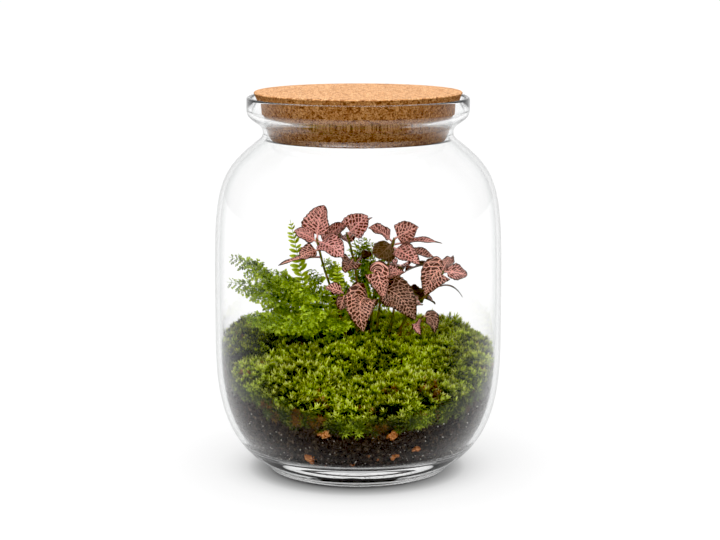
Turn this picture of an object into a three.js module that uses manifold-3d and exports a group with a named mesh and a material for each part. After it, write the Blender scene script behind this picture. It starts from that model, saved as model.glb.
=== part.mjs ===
// A closed glass terrarium: a rounded jar with a flared collar, a tapered cork stopper, a bed of soil
// with bark chips, moss cushions laid round the planting, two clumps of fern and a nerve plant (Fittonia).
// Millimetres, +Z up, the front towards -Y. The origin is the middle of the jar's flat underside.
import * as THREE from 'three';
import { mergeVertices } from 'three/addons/utils/BufferGeometryUtils.js';
import Module from 'manifold-3d';

const wasm = await Module();
wasm.setup();

// Jar
const footRadius = 71;
const footHeight = 4.5;
const heelRound = 1.6;
const bellyRadius = 110;
const bellyLow = 110;
const bellyHigh = 135;
const neckRadius = 72.4;
const neckHeight = 259;
const collarRadius = 84.6;
const collarLow = 276;
const jarHeight = 286;
const wall = 3.4;
const floorThickness = 19;
const floorCorner = 10;
const cornerRise = 5;
const lipRound = 0.9;
const jarSides = 32;

// Stopper
const corkBottomRadius = 65.5;
const corkTopRadius = 79;
const corkBottom = 252;
const corkTop = 290;
const corkChamfer = 0.8;

// Bed
const fit = 0.35;
const soilCrown = 88;
const crevice = 1.3;
const mossEdge = 3.5;
const mossUnderside = 0.8;
const mossSpike = 5;
const chipThickness = 2.2;
const rootDepth = 6;
const stemRadius = 1.1;
const stemSides = 5;
const holeRadius = 1.9;
const bladeThickness = 0.7;
const frondBare = 0.32;
const frondRoll = 50;
const leafStalk = 0.16;
const leafFold = 0.25;

// The same numbers come out on every run: a small linear congruential generator.
function drawer(seed) {
  let state = seed;
  return (low = 0, high = 1) => {
    state = (state * 1664525 + 1013904223) % 4294967296;
    return low + (high - low) * (state / 4294967296);
  };
}

function vec(x, y, z) {
  return new THREE.Vector3(x, y, z);
}

function meshGeometry(points, faces) {
  const geometry = new THREE.BufferGeometry();
  const flat = points.flatMap((p) => [p.x, p.y, p.z]);
  geometry.setAttribute('position', new THREE.Float32BufferAttribute(flat, 3));
  geometry.setIndex(faces.flat());
  return geometry;
}

// A closed geometry as a solid that can be joined and cut.
function solid(geometry) {
  const bare = geometry.clone();
  bare.deleteAttribute('normal');
  bare.deleteAttribute('uv');
  const merged = mergeVertices(bare, 1e-4);
  return new wasm.Manifold(new wasm.Mesh({
    numProp: 3,
    vertProperties: merged.attributes.position.array,
    triVerts: new Uint32Array(merged.index.array),
  }));
}

function geometryOf(made) {
  const mesh = made.getMesh();
  const geometry = new THREE.BufferGeometry();
  geometry.setAttribute('position', new THREE.BufferAttribute(mesh.vertProperties, 3));
  geometry.setIndex(new THREE.BufferAttribute(mesh.triVerts, 1));
  return geometry;
}

function joined(geometries) {
  return geometryOf(geometries.map(solid).reduce((whole, piece) => whole.add(piece)));
}

// A sheet gets its thickness: a copy on either side along each point's normal, and a wall along every
// edge that belongs to one face only. Both faces are split into the same triangles.
function thickened(points, normals, faces, halves) {
  const count = points.length;
  const above = points.map((p, i) => p.clone().addScaledVector(normals[i], halves[i]));
  const below = points.map((p, i) => p.clone().addScaledVector(normals[i], -halves[i]));
  const edges = new Map();
  for (const [a, b, c] of faces) {
    for (const [p, q] of [[a, b], [b, c], [c, a]]) {
      if (edges.has(`${q} ${p}`)) {
        edges.delete(`${q} ${p}`);
      } else {
        edges.set(`${p} ${q}`, [p, q]);
      }
    }
  }
  const under = faces.map(([a, b, c]) => [a + count, c + count, b + count]);
  const rim = [...edges.values()].flatMap(([p, q]) => [[p, q + count, q], [p, p + count, q + count]]);
  return meshGeometry([...above, ...below], [...faces, ...under, ...rim]);
}

// The jar's outer profile above its low upright foot: a wide quarter curve, a straight belly, a round
// shoulder, a narrow neck and a collar that flares to a short upright band.
function outerProfile() {
  const lower = new THREE.CubicBezierCurve(
    new THREE.Vector2(footRadius + 2, footHeight), new THREE.Vector2(bellyRadius + 2, 26),
    new THREE.Vector2(bellyRadius, bellyLow - 31), new THREE.Vector2(bellyRadius, bellyLow));
  const neckLow = new THREE.Vector2(neckRadius + 2.3, neckHeight - 5);
  const neckHigh = new THREE.Vector2(neckRadius + 0.1, neckHeight + 1.5);
  const shoulder = new THREE.CubicBezierCurve(
    new THREE.Vector2(bellyRadius, bellyHigh), new THREE.Vector2(bellyRadius, neckHeight - 39),
    new THREE.Vector2(bellyRadius - 3, neckHeight - 30), neckLow);
  const neck = new THREE.QuadraticBezierCurve(
    neckLow, new THREE.Vector2(neckRadius - 0.6, neckHeight - 2.5), neckHigh);
  const collar = new THREE.CubicBezierCurve(
    neckHigh, new THREE.Vector2(neckRadius + 1, neckHeight + 8),
    new THREE.Vector2(collarRadius, neckHeight + 9), new THREE.Vector2(collarRadius, collarLow));
  return [
    ...lower.getPoints(6),
    ...shoulder.getPoints(5),
    ...neck.getPoints(2).slice(1),
    ...collar.getPoints(3).slice(1),
  ];
}

// The inner profile lies one wall thickness inside the outer one, down to the thick flat floor.
function innerProfile() {
  const outer = outerProfile();
  const inner = outer.map((point, i) => {
    const ahead = outer[Math.min(i + 1, outer.length - 1)];
    const behind = outer[Math.max(i - 1, 0)];
    const along = ahead.clone().sub(behind).normalize();
    return new THREE.Vector2(point.x - along.y * wall, point.y + along.x * wall);
  });
  const above = inner.filter((point) => point.y > floorThickness + cornerRise);
  return [new THREE.Vector2(above[0].x - floorCorner, floorThickness), ...above];
}

const insideWall = innerProfile();

function jarGeometry() {
  const rimInside = collarRadius - wall;
  const rim = [
    new THREE.Vector2(collarRadius, jarHeight - 2 * lipRound),
    new THREE.Vector2(collarRadius - lipRound, jarHeight),
    new THREE.Vector2(rimInside + lipRound, jarHeight),
    new THREE.Vector2(rimInside, jarHeight - 2 * lipRound),
  ];
  const profile = [
    new THREE.Vector2(0, 0),
    new THREE.Vector2(footRadius - heelRound, 0),
    new THREE.Vector2(footRadius, heelRound),
    ...outerProfile(),
    ...rim,
    ...insideWall.slice().reverse(),
    new THREE.Vector2(0, floorThickness),
  ];
  return new THREE.LatheGeometry(profile, jarSides).rotateX(Math.PI / 2);
}

// The clear radius inside the jar at a height, short of the flat facets by the fit.
function clearRadius(z) {
  const height = THREE.MathUtils.clamp(z, insideWall[0].y, insideWall.at(-1).y);
  const k = Math.max(insideWall.findIndex((point) => point.y >= height), 1);
  const low = insideWall[k - 1];
  const high = insideWall[k];
  const radius = THREE.MathUtils.mapLinear(height, low.y, high.y, low.x, high.x);
  return radius * Math.cos(Math.PI / jarSides) - fit;
}

function keptInside(point) {
  const reach = Math.hypot(point.x, point.y);
  const limit = clearRadius(point.z);
  if (reach > limit) {
    point.x *= limit / reach;
    point.y *= limit / reach;
  }
  return point;
}

function corkGeometry() {
  const profile = [
    new THREE.Vector2(0, corkBottom),
    new THREE.Vector2(corkBottomRadius - corkChamfer, corkBottom),
    new THREE.Vector2(corkBottomRadius, corkBottom + corkChamfer),
    new THREE.Vector2(corkTopRadius, corkTop - corkChamfer),
    new THREE.Vector2(corkTopRadius - corkChamfer, corkTop),
    new THREE.Vector2(0, corkTop),
  ];
  return new THREE.LatheGeometry(profile, jarSides).rotateX(Math.PI / 2);
}

// Height of the soil at the glass: low in front, higher at the sides and the back.
function soilEdge(angle) {
  return 74.75 - 3 * Math.cos(angle) + 15.5 * Math.sin(angle) + 6.25 * Math.cos(2 * angle);
}

// The soil rises from the glass to a low crown in the middle.
function soilTop(x, y) {
  const out = Math.min(Math.hypot(x, y) / (bellyRadius - wall), 1);
  const edge = soilEdge(Math.atan2(y, x));
  return edge + (soilCrown - edge) * (1 - out ** 1.4);
}

// Rings of points from the middle of the underside, out, up the side and in over the top.
function soilGeometry() {
  const base = floorThickness + fit;
  const rings = [];
  const angles = Array.from({ length: jarSides }, (_, j) => (j / jarSides) * 2 * Math.PI);
  for (const share of [0, 0.25, 0.55, 1]) {
    rings.push(angles.map((angle) => {
      const z = base + share * (soilEdge(angle) - base);
      const reach = share ? clearRadius(z) : insideWall[0].x - 1;
      return vec(reach * Math.cos(angle), reach * Math.sin(angle), z);
    }));
  }
  for (const share of [0.8, 0.52, 0.24]) {
    rings.push(angles.map((angle) => {
      const reach = share * clearRadius(soilEdge(angle));
      const x = reach * Math.cos(angle);
      const y = reach * Math.sin(angle);
      return vec(x, y, soilTop(x, y));
    }));
  }
  return closedRings(vec(0, 0, base), rings, vec(0, 0, soilCrown));
}

// A closed skin from rings of equal length, with a middle point at each end.
function closedRings(start, rings, end) {
  const n = rings[0].length;
  const points = [start, ...rings.flat(), end];
  const last = points.length - 1;
  const faces = [];
  for (let j = 0; j < n; j++) {
    const next = (j + 1) % n;
    faces.push([0, 1 + next, 1 + j]);
    for (let k = 0; k < rings.length - 1; k++) {
      const a = 1 + k * n;
      faces.push([a + j, a + next, a + n + next], [a + j, a + n + next, a + n + j]);
    }
    faces.push([last - n + j, last - n + next, last]);
  }
  return meshGeometry(points, faces);
}

// Moss cushions lie side by side round the planting spot. Each one's outline runs halfway to its
// neighbours' middles, less a narrow crevice, and to the glass.
const plantingSpot = vec(0, 16, 0);
const cushions = {
  moss_left: { middle: vec(-84, -2, 0), rise: 13 },
  moss_front_left: { middle: vec(-50, -60, 0), rise: 10 },
  moss_front_right: { middle: vec(28, -76, 0), rise: 8 },
  moss_middle: { middle: vec(6, -36, 0), rise: 11 },
  moss_right: { middle: vec(76, -14, 0), rise: 10 },
  moss_back_right: { middle: vec(44, 70, 0), rise: 9 },
  moss_back_left: { middle: vec(-42, 70, 0), rise: 10 },
};

function cushionReach(middle, others, angle, wobble) {
  const way = vec(Math.cos(angle), Math.sin(angle), 0);
  const limit = clearRadius(soilEdge(Math.atan2(middle.y, middle.x)));
  const across = middle.dot(way);
  const glass = -across + Math.sqrt(across ** 2 - middle.lengthSq() + limit ** 2);
  const bounds = others.map((other) => {
    const apart = other.clone().sub(middle);
    const toward = apart.dot(way);
    return toward > 0 ? apart.length() * (apart.length() - crevice) / (2 * toward) : Infinity;
  });
  const soft = [glass, ...bounds].reduce((sum, bound) => sum + bound ** -14, 0) ** (-1 / 14);
  return soft * (1 - 0.02 * wobble);
}

function cushionGeometry(name, seed) {
  const draw = drawer(seed);
  const { middle, rise } = cushions[name];
  const others = Object.values(cushions).map((c) => c.middle).filter((m) => m !== middle);
  const spokes = 16;
  const shares = [0.3, 0.56, 0.8, 1];
  const reaches = Array.from({ length: spokes }, (_, j) =>
    cushionReach(middle, [...others, plantingSpot], (j / spokes) * 2 * Math.PI, draw()));
  const ring = (share, height) => reaches.map((reach, j) => {
    const angle = (j / spokes) * 2 * Math.PI;
    const x = middle.x + share * reach * Math.cos(angle);
    const y = middle.y + share * reach * Math.sin(angle);
    const point = keptInside(vec(x, y, soilTop(x, y)));
    point.z = soilTop(point.x, point.y) + height;
    return keptInside(point);
  });
  const dome = (share) => mossEdge + rise * Math.sqrt(1 - share ** 4);
  const under = [0.5, 1].map((share) => ring(share, mossUnderside));
  const tops = shares.map((share) => ring(share, dome(share))).reverse();
  const ground = soilTop(middle.x, middle.y);
  const bottom = vec(middle.x, middle.y, ground + mossUnderside);
  const top = vec(middle.x, middle.y, ground + dome(0));
  const body = closedRings(bottom, [...under, ...tops], top);
  return tufted(body, 1 + 2 * spokes, spokes, draw);
}

// Every triangle of the upper skin carries one pointed tuft, shorter along the cushion's edge.
function tufted(geometry, firstTop, spokes, draw) {
  const position = geometry.attributes.position;
  const points = Array.from({ length: position.count }, (_, i) => vec().fromBufferAttribute(position, i));
  const index = geometry.index.array;
  const faces = [];
  for (let i = 0; i < index.length; i += 3) {
    const face = [index[i], index[i + 1], index[i + 2]];
    if (Math.min(...face) < firstTop) {
      faces.push(face);
      continue;
    }
    const [a, b, c] = face.map((k) => points[k]);
    const normal = b.clone().sub(a).cross(c.clone().sub(a)).normalize();
    const tip = a.clone().add(b).add(c).divideScalar(3);
    const height = mossSpike * draw(0.6, 1) * (Math.min(...face) < firstTop + spokes ? 0.5 : 1);
    tip.addScaledVector(normal, height).add(vec(draw(-0.8, 0.8), draw(-0.8, 0.8), 1));
    points.push(keptInside(tip));
    const peak = points.length - 1;
    faces.push([face[0], face[1], peak], [face[1], face[2], peak], [face[2], face[0], peak]);
  }
  return meshGeometry(points, faces);
}

// A frond: a rib strip with leaflets cut down to it on both sides, in one thin arched blade. The rib
// starts upright in its hole, climbs and arches over to the tip, and its blade is rolled to the front.
function frondGeometry({ root, tip, crest, pairs, reach }, seed) {
  const draw = drawer(seed);
  const start = vec(root[0], root[1], soilTop(...root) - rootDepth);
  const end = vec(...tip);
  const over = start.clone().lerp(end, 0.55);
  over.z = Math.max(start.z, end.z) + crest;
  const rising = start.clone().setZ(THREE.MathUtils.lerp(start.z, over.z, 0.45));
  const rib = new THREE.CubicBezierCurve3(start, rising, over, end);
  const level = vec(end.x - start.x, end.y - start.y, 0).normalize().cross(vec(0, 0, 1));
  const points = [];
  const normals = [];
  const halves = [];
  const faces = [];
  const frame = (t) => {
    const along = rib.getTangent(t);
    const across = level.clone().applyAxisAngle(along, THREE.MathUtils.degToRad(-frondRoll * level.y));
    return { at: rib.getPoint(t), across, normal: across.clone().cross(along).normalize() };
  };
  const put = (t, side, up, half) => {
    const f = frame(t);
    points.push(f.at.addScaledVector(f.across, side).addScaledVector(f.normal, up));
    normals.push(f.normal);
    halves.push(half);
    return points.length - 1;
  };
  const ribHalf = (t) => 0.75 - 0.4 * t;
  const thick = (t) => 0.6 - 0.25 * t;
  const station = (t) => [put(t, -ribHalf(t), 0, thick(t)), put(t, ribHalf(t), 0, thick(t))];
  const strip = (low, high) => faces.push([low[0], low[1], high[1]], [low[0], high[1], high[0]]);
  let low = station(0);
  for (const t of [0.1, 0.2]) {
    const high = station(t);
    strip(low, high);
    low = high;
  }
  const pitch = (0.97 - frondBare) / pairs;
  for (let k = 0; k < pairs; k++) {
    const t = frondBare + k * pitch;
    const foot = station(t);
    strip(low, foot);
    const head = station(t + 0.72 * pitch);
    strip(foot, head);
    const share = (k + 0.5) / pairs;
    const long = reach * Math.sin(Math.PI * (0.1 + 0.82 * share)) ** 0.8;
    for (const side of [-1, 1]) {
      const i = side < 0 ? 0 : 1;
      const lift = draw(-1.2, 1.2);
      const aft = put(t - 0.22 * pitch, side * long * 0.66, lift, bladeThickness / 2);
      const point = put(t + 0.56 * pitch, side * long, 1.5 * lift - 0.06 * long, bladeThickness / 2);
      faces.push(...(side > 0
        ? [[foot[i], aft, point], [foot[i], point, head[i]]]
        : [[foot[i], point, aft], [foot[i], head[i], point]]));
    }
    low = head;
  }
  const tipPoint = put(1, 0, 0, 0.3);
  faces.push([low[0], low[1], tipPoint]);
  return thickened(points, normals, faces, halves);
}

// A nerve plant's leaf: a short stalk and an ovate blade folded along its midrib, from a point on the
// stem over a crest to the pointed tip. The face is the way its upper side looks.
function leafGeometry({ from, tip, over, wide, face }, seed) {
  const draw = drawer(seed);
  const end = vec(...tip);
  const upper = vec(...face);
  const crest = over
    ? vec(...over)
    : from.clone().lerp(end, 0.5).addScaledVector(upper.clone().normalize(), 4);
  const rib = new THREE.QuadraticBezierCurve3(from, crest, end);
  const stations = [0, leafStalk, 0.28, 0.44, 0.62, 0.82, 1];
  const points = [];
  const normals = [];
  const halves = [];
  const faces = [];
  stations.forEach((t, k) => {
    const along = rib.getTangent(t);
    const side = along.clone().cross(upper).normalize();
    const normal = side.clone().cross(along).normalize();
    const s = Math.max((t - leafStalk) / (1 - leafStalk), 0);
    const blade = (wide / 2) * 2.62 * s ** 0.55 * (1 - s) ** 0.9;
    const half = Math.max(blade * (k % 2 ? 1.05 : 0.95), 0.55);
    const at = rib.getPoint(t);
    if (k === stations.length - 1) {
      points.push(at);
      normals.push(normal);
      halves.push(bladeThickness / 2);
      return;
    }
    for (const column of [-1, 0, 1]) {
      const wave = s > 0 ? draw(-0.4, 0.4) * column : 0;
      const lift = s > 0 ? leafFold * half * Math.abs(column) + wave : 0;
      points.push(at.clone().addScaledVector(side, column * half).addScaledVector(normal, lift));
      normals.push(normal);
      halves.push(s > 0 ? bladeThickness / 2 : 0.5);
    }
    const a = 3 * k;
    if (k < stations.length - 2) {
      faces.push([a, a + 1, a + 4], [a, a + 4, a + 3], [a + 1, a + 2, a + 5], [a + 1, a + 5, a + 4]);
    } else {
      faces.push([a, a + 1, a + 3], [a + 1, a + 2, a + 3]);
    }
  });
  return thickened(points, normals, faces, halves);
}

// A leafy stem: a round stem out of its hole in the soil, with its leaves joined to it.
function leafyStem({ route, leaves }, seed) {
  const [x, y] = route[0];
  const path = new THREE.CatmullRomCurve3([
    vec(x, y, soilTop(x, y) - rootDepth),
    ...route.map((p) => vec(...p)),
  ]);
  const ring = new THREE.Shape(Array.from({ length: stemSides }, (_, k) =>
    new THREE.Vector2(stemRadius, 0).rotateAround(new THREE.Vector2(), (k / stemSides) * 2 * Math.PI)));
  const stem = new THREE.ExtrudeGeometry(ring, { steps: 7, extrudePath: path });
  const blades = leaves.map((leaf, k) =>
    leafGeometry({ ...leaf, from: path.getPointAt(leaf.t) }, seed + k));
  return joined([stem, ...blades]);
}

// A bark chip lies flat against the glass in a pocket of the soil: an uneven six-sided flake. The pocket
// is the same flake, larger all round by the length to grow.
function chipGeometry({ angle, height, size, turn }, seed, grow = 0) {
  const draw = drawer(seed);
  const turned = THREE.MathUtils.degToRad(turn);
  const corners = Array.from({ length: 6 }, (_, k) => {
    const a = turned + (k / 6) * 2 * Math.PI;
    const reach = (size / 2) * draw(0.75, 1) + grow;
    return new THREE.Vector2(1.2 * reach * Math.cos(a), 0.75 * reach * Math.sin(a));
  });
  const depth = chipThickness + 2 * grow;
  const way = THREE.MathUtils.degToRad(angle);
  const lean = Math.atan2(clearRadius(height + 3) - clearRadius(height - 3), 6);
  return new THREE.ExtrudeGeometry(new THREE.Shape(corners), { depth, bevelEnabled: false })
    .translate(0, 0, grow - depth)
    .rotateX(Math.PI / 2 + lean)
    .rotateZ(Math.PI)
    .translate(0, clearRadius(height) - fit, 0)
    .rotateZ(way - Math.PI / 2)
    .translate(0, 0, height);
}

const chips = {
  bark_chip_front_left: { angle: -104, height: 48.5, size: 9, turn: 20 },
  bark_chip_front_right: { angle: -75, height: 48, size: 9, turn: 50 },
  bark_chip_low_left: { angle: -113, height: 27, size: 8, turn: 10 },
  bark_chip_low_middle: { angle: -73, height: 29, size: 6, turn: 35 },
  bark_chip_low_right: { angle: -63, height: 34, size: 6, turn: 0 },
};

// Fern fronds. Roots are places on the soil; the left clump leans to the glass and over the front moss,
// the back clump stands behind the nerve plant.
const fronds = {
  fern_left_high: { root: [-32, 8], tip: [-101, 6, 162], crest: -8, pairs: 12, reach: 9 },
  fern_left_middle: { root: [-35, 2.5], tip: [-100, -14, 146], crest: -4, pairs: 11, reach: 9 },
  fern_left_low: { root: [-35, -3], tip: [-86, -34, 122], crest: 0, pairs: 10, reach: 9 },
  fern_left_front: { root: [-31, -7], tip: [-74, -38, 115], crest: 16, pairs: 9, reach: 9 },
  fern_front_left: { root: [-26, -9], tip: [-54, -46, 112], crest: 26, pairs: 10, reach: 9 },
  fern_front: { root: [-20, -10], tip: [-40, -47, 112], crest: 40, pairs: 11, reach: 9 },
  fern_front_right: { root: [-15, -8], tip: [-14, -43, 111], crest: 22, pairs: 9, reach: 8 },
  fern_back_high: { root: [-31, 12], tip: [-72, 38, 146], crest: -2, pairs: 9, reach: 8 },
  fern_upright: { root: [-37, 12], tip: [-53, 19, 189], crest: -34, pairs: 10, reach: 6 },
  fern_bright: { root: [-17, -2], tip: [-15, -18, 162], crest: -18, pairs: 8, reach: 5 },
  fern_middle_left: { root: [-28.5, 3], tip: [-60, -17, 148], crest: 0, pairs: 8, reach: 9 },
  fern_middle_front: { root: [-23, -3], tip: [-41, -33, 135], crest: 22, pairs: 8, reach: 9 },
  fern_back_left: { root: [-29, 16], tip: [-68, 56, 132], crest: 16, pairs: 8, reach: 8 },
  fern_back: { root: [-23, 15], tip: [-42, 56, 142], crest: 10, pairs: 8, reach: 8 },
  fern_rear_upright: { root: [3, 38], tip: [3, 34, 174], crest: -18, pairs: 9, reach: 7 },
  fern_rear_right: { root: [9, 37], tip: [19, 33, 158], crest: -12, pairs: 7, reach: 7 },
  fern_rear_left: { root: [-2, 42], tip: [-28, 46, 152], crest: 0, pairs: 7, reach: 7 },
  fern_rear_side: { root: [10, 44], tip: [32, 74, 130], crest: 14, pairs: 8, reach: 8 },
  fern_rear_low: { root: [4, 48], tip: [4, 90, 118], crest: 18, pairs: 8, reach: 8 },
  fern_rear_low_left: { root: [-3, 49], tip: [-34, 82, 116], crest: 16, pairs: 7, reach: 8 },
};

// Nerve plant stems. A leaf leaves its stem at the share t of the stem's length.
const stems = {
  fittonia_left: {
    route: [[-8, 14, 92], [-17, 12, 124], [-27, 8, 155], [-32, 5, 177]],
    leaves: [
      { t: 0.98, tip: [-27, 2, 203], wide: 22, face: [-0.4, -1, 0.1] },
      { t: 0.96, tip: [-49, 0, 184], wide: 11, face: [0, -0.8, 0.6] },
      { t: 0.97, tip: [-11, -13, 167], wide: 20, face: [0.1, -0.7, 0.7] },
      { t: 0.93, tip: [-8, 16, 188], wide: 13, face: [0, -0.7, 0.7] },
      { t: 0.9, tip: [-46, 1, 162], wide: 13, face: [-0.2, -0.8, 0.6] },
      { t: 0.84, tip: [-62, 4, 156], wide: 5, face: [0, -0.5, 1] },
    ],
  },
  fittonia_middle: {
    route: [[2, 18, 92], [0, 18, 130], [-4, 15, 160], [-9, 13, 180]],
    leaves: [
      { t: 0.98, tip: [7, 7, 194], wide: 20, face: [0, -1, 0.3] },
      { t: 0.95, tip: [11, 19, 191], wide: 7, face: [0, -0.5, 1] },
      { t: 0.78, tip: [-10, -7, 153], wide: 16, face: [0.1, -1, 0.4] },
      { t: 0.9, tip: [-16, 33, 174], wide: 16, face: [0, 0.6, 1] },
      { t: 0.72, tip: [10, 34, 160], wide: 14, face: [0, 0.8, 0.8] },
    ],
  },
  fittonia_top: {
    route: [[14, 20, 92], [18, 18, 130], [24, 14, 158], [28, 10, 176]],
    leaves: [
      { t: 0.99, tip: [46, 2, 186], wide: 18, face: [-0.2, -1, 0.4] },
      { t: 0.96, tip: [8, 10, 185], wide: 12, face: [0, -0.5, 1] },
      { t: 0.97, tip: [13, -2, 161], wide: 19, face: [0, 0.9, -0.3] },
      { t: 0.92, tip: [47, -8, 159], wide: 16, face: [-0.1, -0.8, 0.6] },
      { t: 0.94, tip: [65, 8, 173], wide: 8, face: [0, -0.5, 1] },
      { t: 0.84, tip: [62, 18, 160], wide: 13, face: [0, -0.4, 1] },
      { t: 0.8, tip: [30, 40, 162], wide: 16, face: [0, 0.7, 0.8] },
    ],
  },
  fittonia_right: {
    route: [[28, 10, 92], [40, 7, 118], [56, 3, 136], [66, 1, 152]],
    leaves: [
      { t: 0.97, tip: [51, -9, 134], over: [60, -6, 160], wide: 23, face: [0, -1, 0.3] },
      { t: 0.99, tip: [85, 0, 149], wide: 13, face: [0, -0.9, 0.5] },
      { t: 0.92, tip: [72, 22, 160], wide: 15, face: [0.3, 0.6, 1] },
      { t: 0.78, tip: [81, 3, 131], over: [72, 3, 146], wide: 2, face: [0, -0.4, 1] },
      { t: 0.62, tip: [42, -6, 128], wide: 9, face: [0, -1, 0.4] },
    ],
  },
  fittonia_front: {
    route: [[8, 4, 92], [10, -2, 115], [12, -7, 135], [14, -9, 150]],
    leaves: [
      { t: 0.7, tip: [4, -34, 111], over: [-4, -26, 144], wide: 25, face: [-0.1, -1, 0.4] },
      { t: 0.86, tip: [43, -25, 119], over: [31, -14, 143], wide: 25, face: [-0.1, -1, 0.4] },
      { t: 0.98, tip: [20, -17, 132], over: [14, -14, 162], wide: 19, face: [-0.1, -1, 0.4] },
      { t: 0.97, tip: [36, -4, 153], wide: 12, face: [0, -0.8, 0.6] },
    ],
  },
  fittonia_small: {
    route: [[0, 2, 92], [-2, -4, 112], [-8, -12, 130], [-11, -15, 138]],
    leaves: [
      { t: 0.98, tip: [-25, -20, 143], wide: 10, face: [0, -0.8, 0.6] },
      { t: 0.97, tip: [-14, -21, 125], wide: 10, face: [0, -1, 0.3] },
    ],
  },
  fittonia_low: {
    route: [[33, 4, 92], [40, -2, 104], [46, -6, 114], [50, -7, 118]],
    leaves: [
      { t: 0.97, tip: [59, -12, 106], over: [58, -6, 121], wide: 12, face: [0.2, -1, 0.4] },
      { t: 0.92, tip: [47, -19, 106], wide: 9, face: [-0.6, -0.6, 0.4] },
    ],
  },
  fittonia_back: {
    route: [[24, 30, 92], [28, 34, 114], [32, 38, 134], [33, 43, 148]],
    leaves: [
      { t: 0.98, tip: [36, 70, 144], wide: 20, face: [0, 0.6, 1] },
      { t: 0.96, tip: [14, 54, 158], wide: 17, face: [-0.2, 0.5, 1] },
      { t: 0.9, tip: [60, 48, 150], wide: 18, face: [0.3, 0.4, 1] },
      { t: 0.72, tip: [52, 62, 118], wide: 20, face: [0.3, 0.8, 0.7] },
      { t: 0.66, tip: [62, 32, 122], wide: 18, face: [0.6, 0.2, 1] },
    ],
  },
};

function soilWithHoles() {
  const places = [
    ...Object.values(fronds).map((frond) => frond.root),
    ...Object.values(stems).map((stem) => stem.route[0]),
  ];
  const tall = 3 * rootDepth;
  const holes = places.map(([x, y]) =>
    solid(new THREE.CylinderGeometry(holeRadius, holeRadius, tall, 6)
      .rotateX(Math.PI / 2)
      .translate(x, y, soilTop(x, y) - rootDepth - fit + tall / 2)));
  const pockets = Object.values(chips).map((chip, k) => solid(chipGeometry(chip, 300 + k, fit)));
  const bed = [...holes, ...pockets].reduce((whole, cut) => whole.subtract(cut), solid(soilGeometry()));
  const bodies = bed.decompose().sort((a, b) => b.volume() - a.volume());
  return geometryOf(bodies[0]);
}

const looks = {
  glass: { color: 0xeef2f2, roughness: 0.03, transparent: true, opacity: 0.35 },
  cork: { color: 0xc69563, roughness: 0.85 },
  soil: { color: 0x2b211b, roughness: 0.95 },
  bark: { color: 0xa4622f, roughness: 0.8 },
  moss: { color: 0x6f8f1f, roughness: 0.9 },
  fern: { color: 0x7fb52a, roughness: 0.6 },
  fittonia: { color: 0xc08078, roughness: 0.55 },
};

function node(name, geometry, look) {
  const mesh = new THREE.Mesh(geometry, new THREE.MeshStandardMaterial({ metalness: 0, ...looks[look] }));
  mesh.name = name;
  return mesh;
}

const terrarium = new THREE.Group();
terrarium.add(node('glass_jar', jarGeometry(), 'glass'));
terrarium.add(node('cork_stopper', corkGeometry(), 'cork'));
terrarium.add(node('soil', soilWithHoles(), 'soil'));
Object.entries(chips).forEach(([name, chip], k) => {
  terrarium.add(node(name, chipGeometry(chip, 300 + k), 'bark'));
});
Object.keys(cushions).forEach((name, k) => {
  terrarium.add(node(name, cushionGeometry(name, 100 + k), 'moss'));
});
Object.entries(fronds).forEach(([name, frond], k) => {
  terrarium.add(node(name, frondGeometry(frond, 200 + k), 'fern'));
});
Object.entries(stems).forEach(([name, stem], k) => {
  terrarium.add(node(name, leafyStem(stem, 400 + 20 * k), 'fittonia'));
});

export default terrarium;
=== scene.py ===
import math

import bpy
import numpy as np
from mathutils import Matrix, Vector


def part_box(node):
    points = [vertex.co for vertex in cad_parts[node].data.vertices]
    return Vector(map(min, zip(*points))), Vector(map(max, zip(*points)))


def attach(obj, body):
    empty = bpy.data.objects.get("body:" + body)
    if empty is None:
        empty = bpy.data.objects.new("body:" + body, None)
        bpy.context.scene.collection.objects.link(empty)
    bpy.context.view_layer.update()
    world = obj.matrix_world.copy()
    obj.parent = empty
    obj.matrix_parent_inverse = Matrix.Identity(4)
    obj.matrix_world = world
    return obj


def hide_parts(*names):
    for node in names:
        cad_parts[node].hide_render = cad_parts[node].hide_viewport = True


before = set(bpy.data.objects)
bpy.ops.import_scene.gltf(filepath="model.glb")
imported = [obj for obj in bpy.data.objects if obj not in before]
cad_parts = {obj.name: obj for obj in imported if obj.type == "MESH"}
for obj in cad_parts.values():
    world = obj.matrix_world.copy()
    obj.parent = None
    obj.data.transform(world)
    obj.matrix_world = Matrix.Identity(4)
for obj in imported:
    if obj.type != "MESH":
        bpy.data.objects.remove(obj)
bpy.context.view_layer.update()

# Glass plant terrarium: a rounded clear jar with a tapered cork stopper, planted with fern and a
# pink-veined nerve plant in moss over dark soil. Shapes are worked out in millimetres, with the origin at
# the middle of the jar's flat underside, +Z up and the front towards -Y, and are written in metres.

MM = 0.001


# Numbers and small sums

# The jar and its stopper. Full gloss lies between the heights of GLOSSY_BANDS, and the solid jar, which the
# planting keeps clear of, has JAR_SIDES flat sides.
FOOT_RADIUS = 71.0
FOOT_HEIGHT = 4.5
HEEL_ROUND = 2.4
BELLY_RADIUS = 110.0
BELLY_LOW, BELLY_HIGH = 110.0, 135.0
NECK_LOW, NECK_HIGH = (74.7, 254.0), (72.5, 260.5)
COLLAR_RADIUS = 84.6
COLLAR_BAND = 276.0
JAR_HEIGHT = 286.0
GLOSSY_BANDS = ((254.5, 258.5), (264.0, 275.5))
JAR_SIDES = 32
WALL = 3.4
FLOOR = 19.0
CORK_BOTTOM, CORK_TOP = 252.0, 290.0
CORK_BOTTOM_RADIUS, CORK_TOP_RADIUS = 65.5, 79.0

# The soil: FIT is its gap to the glass, and wet soil reaches WET_CONTACT into the glass floor.
FIT = 0.35
WET_CONTACT = 0.06
SOIL_CROWN = 88.0
SOIL_DRAWN_IN = 9.0
PERLITE_SHARE, BARK_SHARE = 0.13, 0.004

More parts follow.
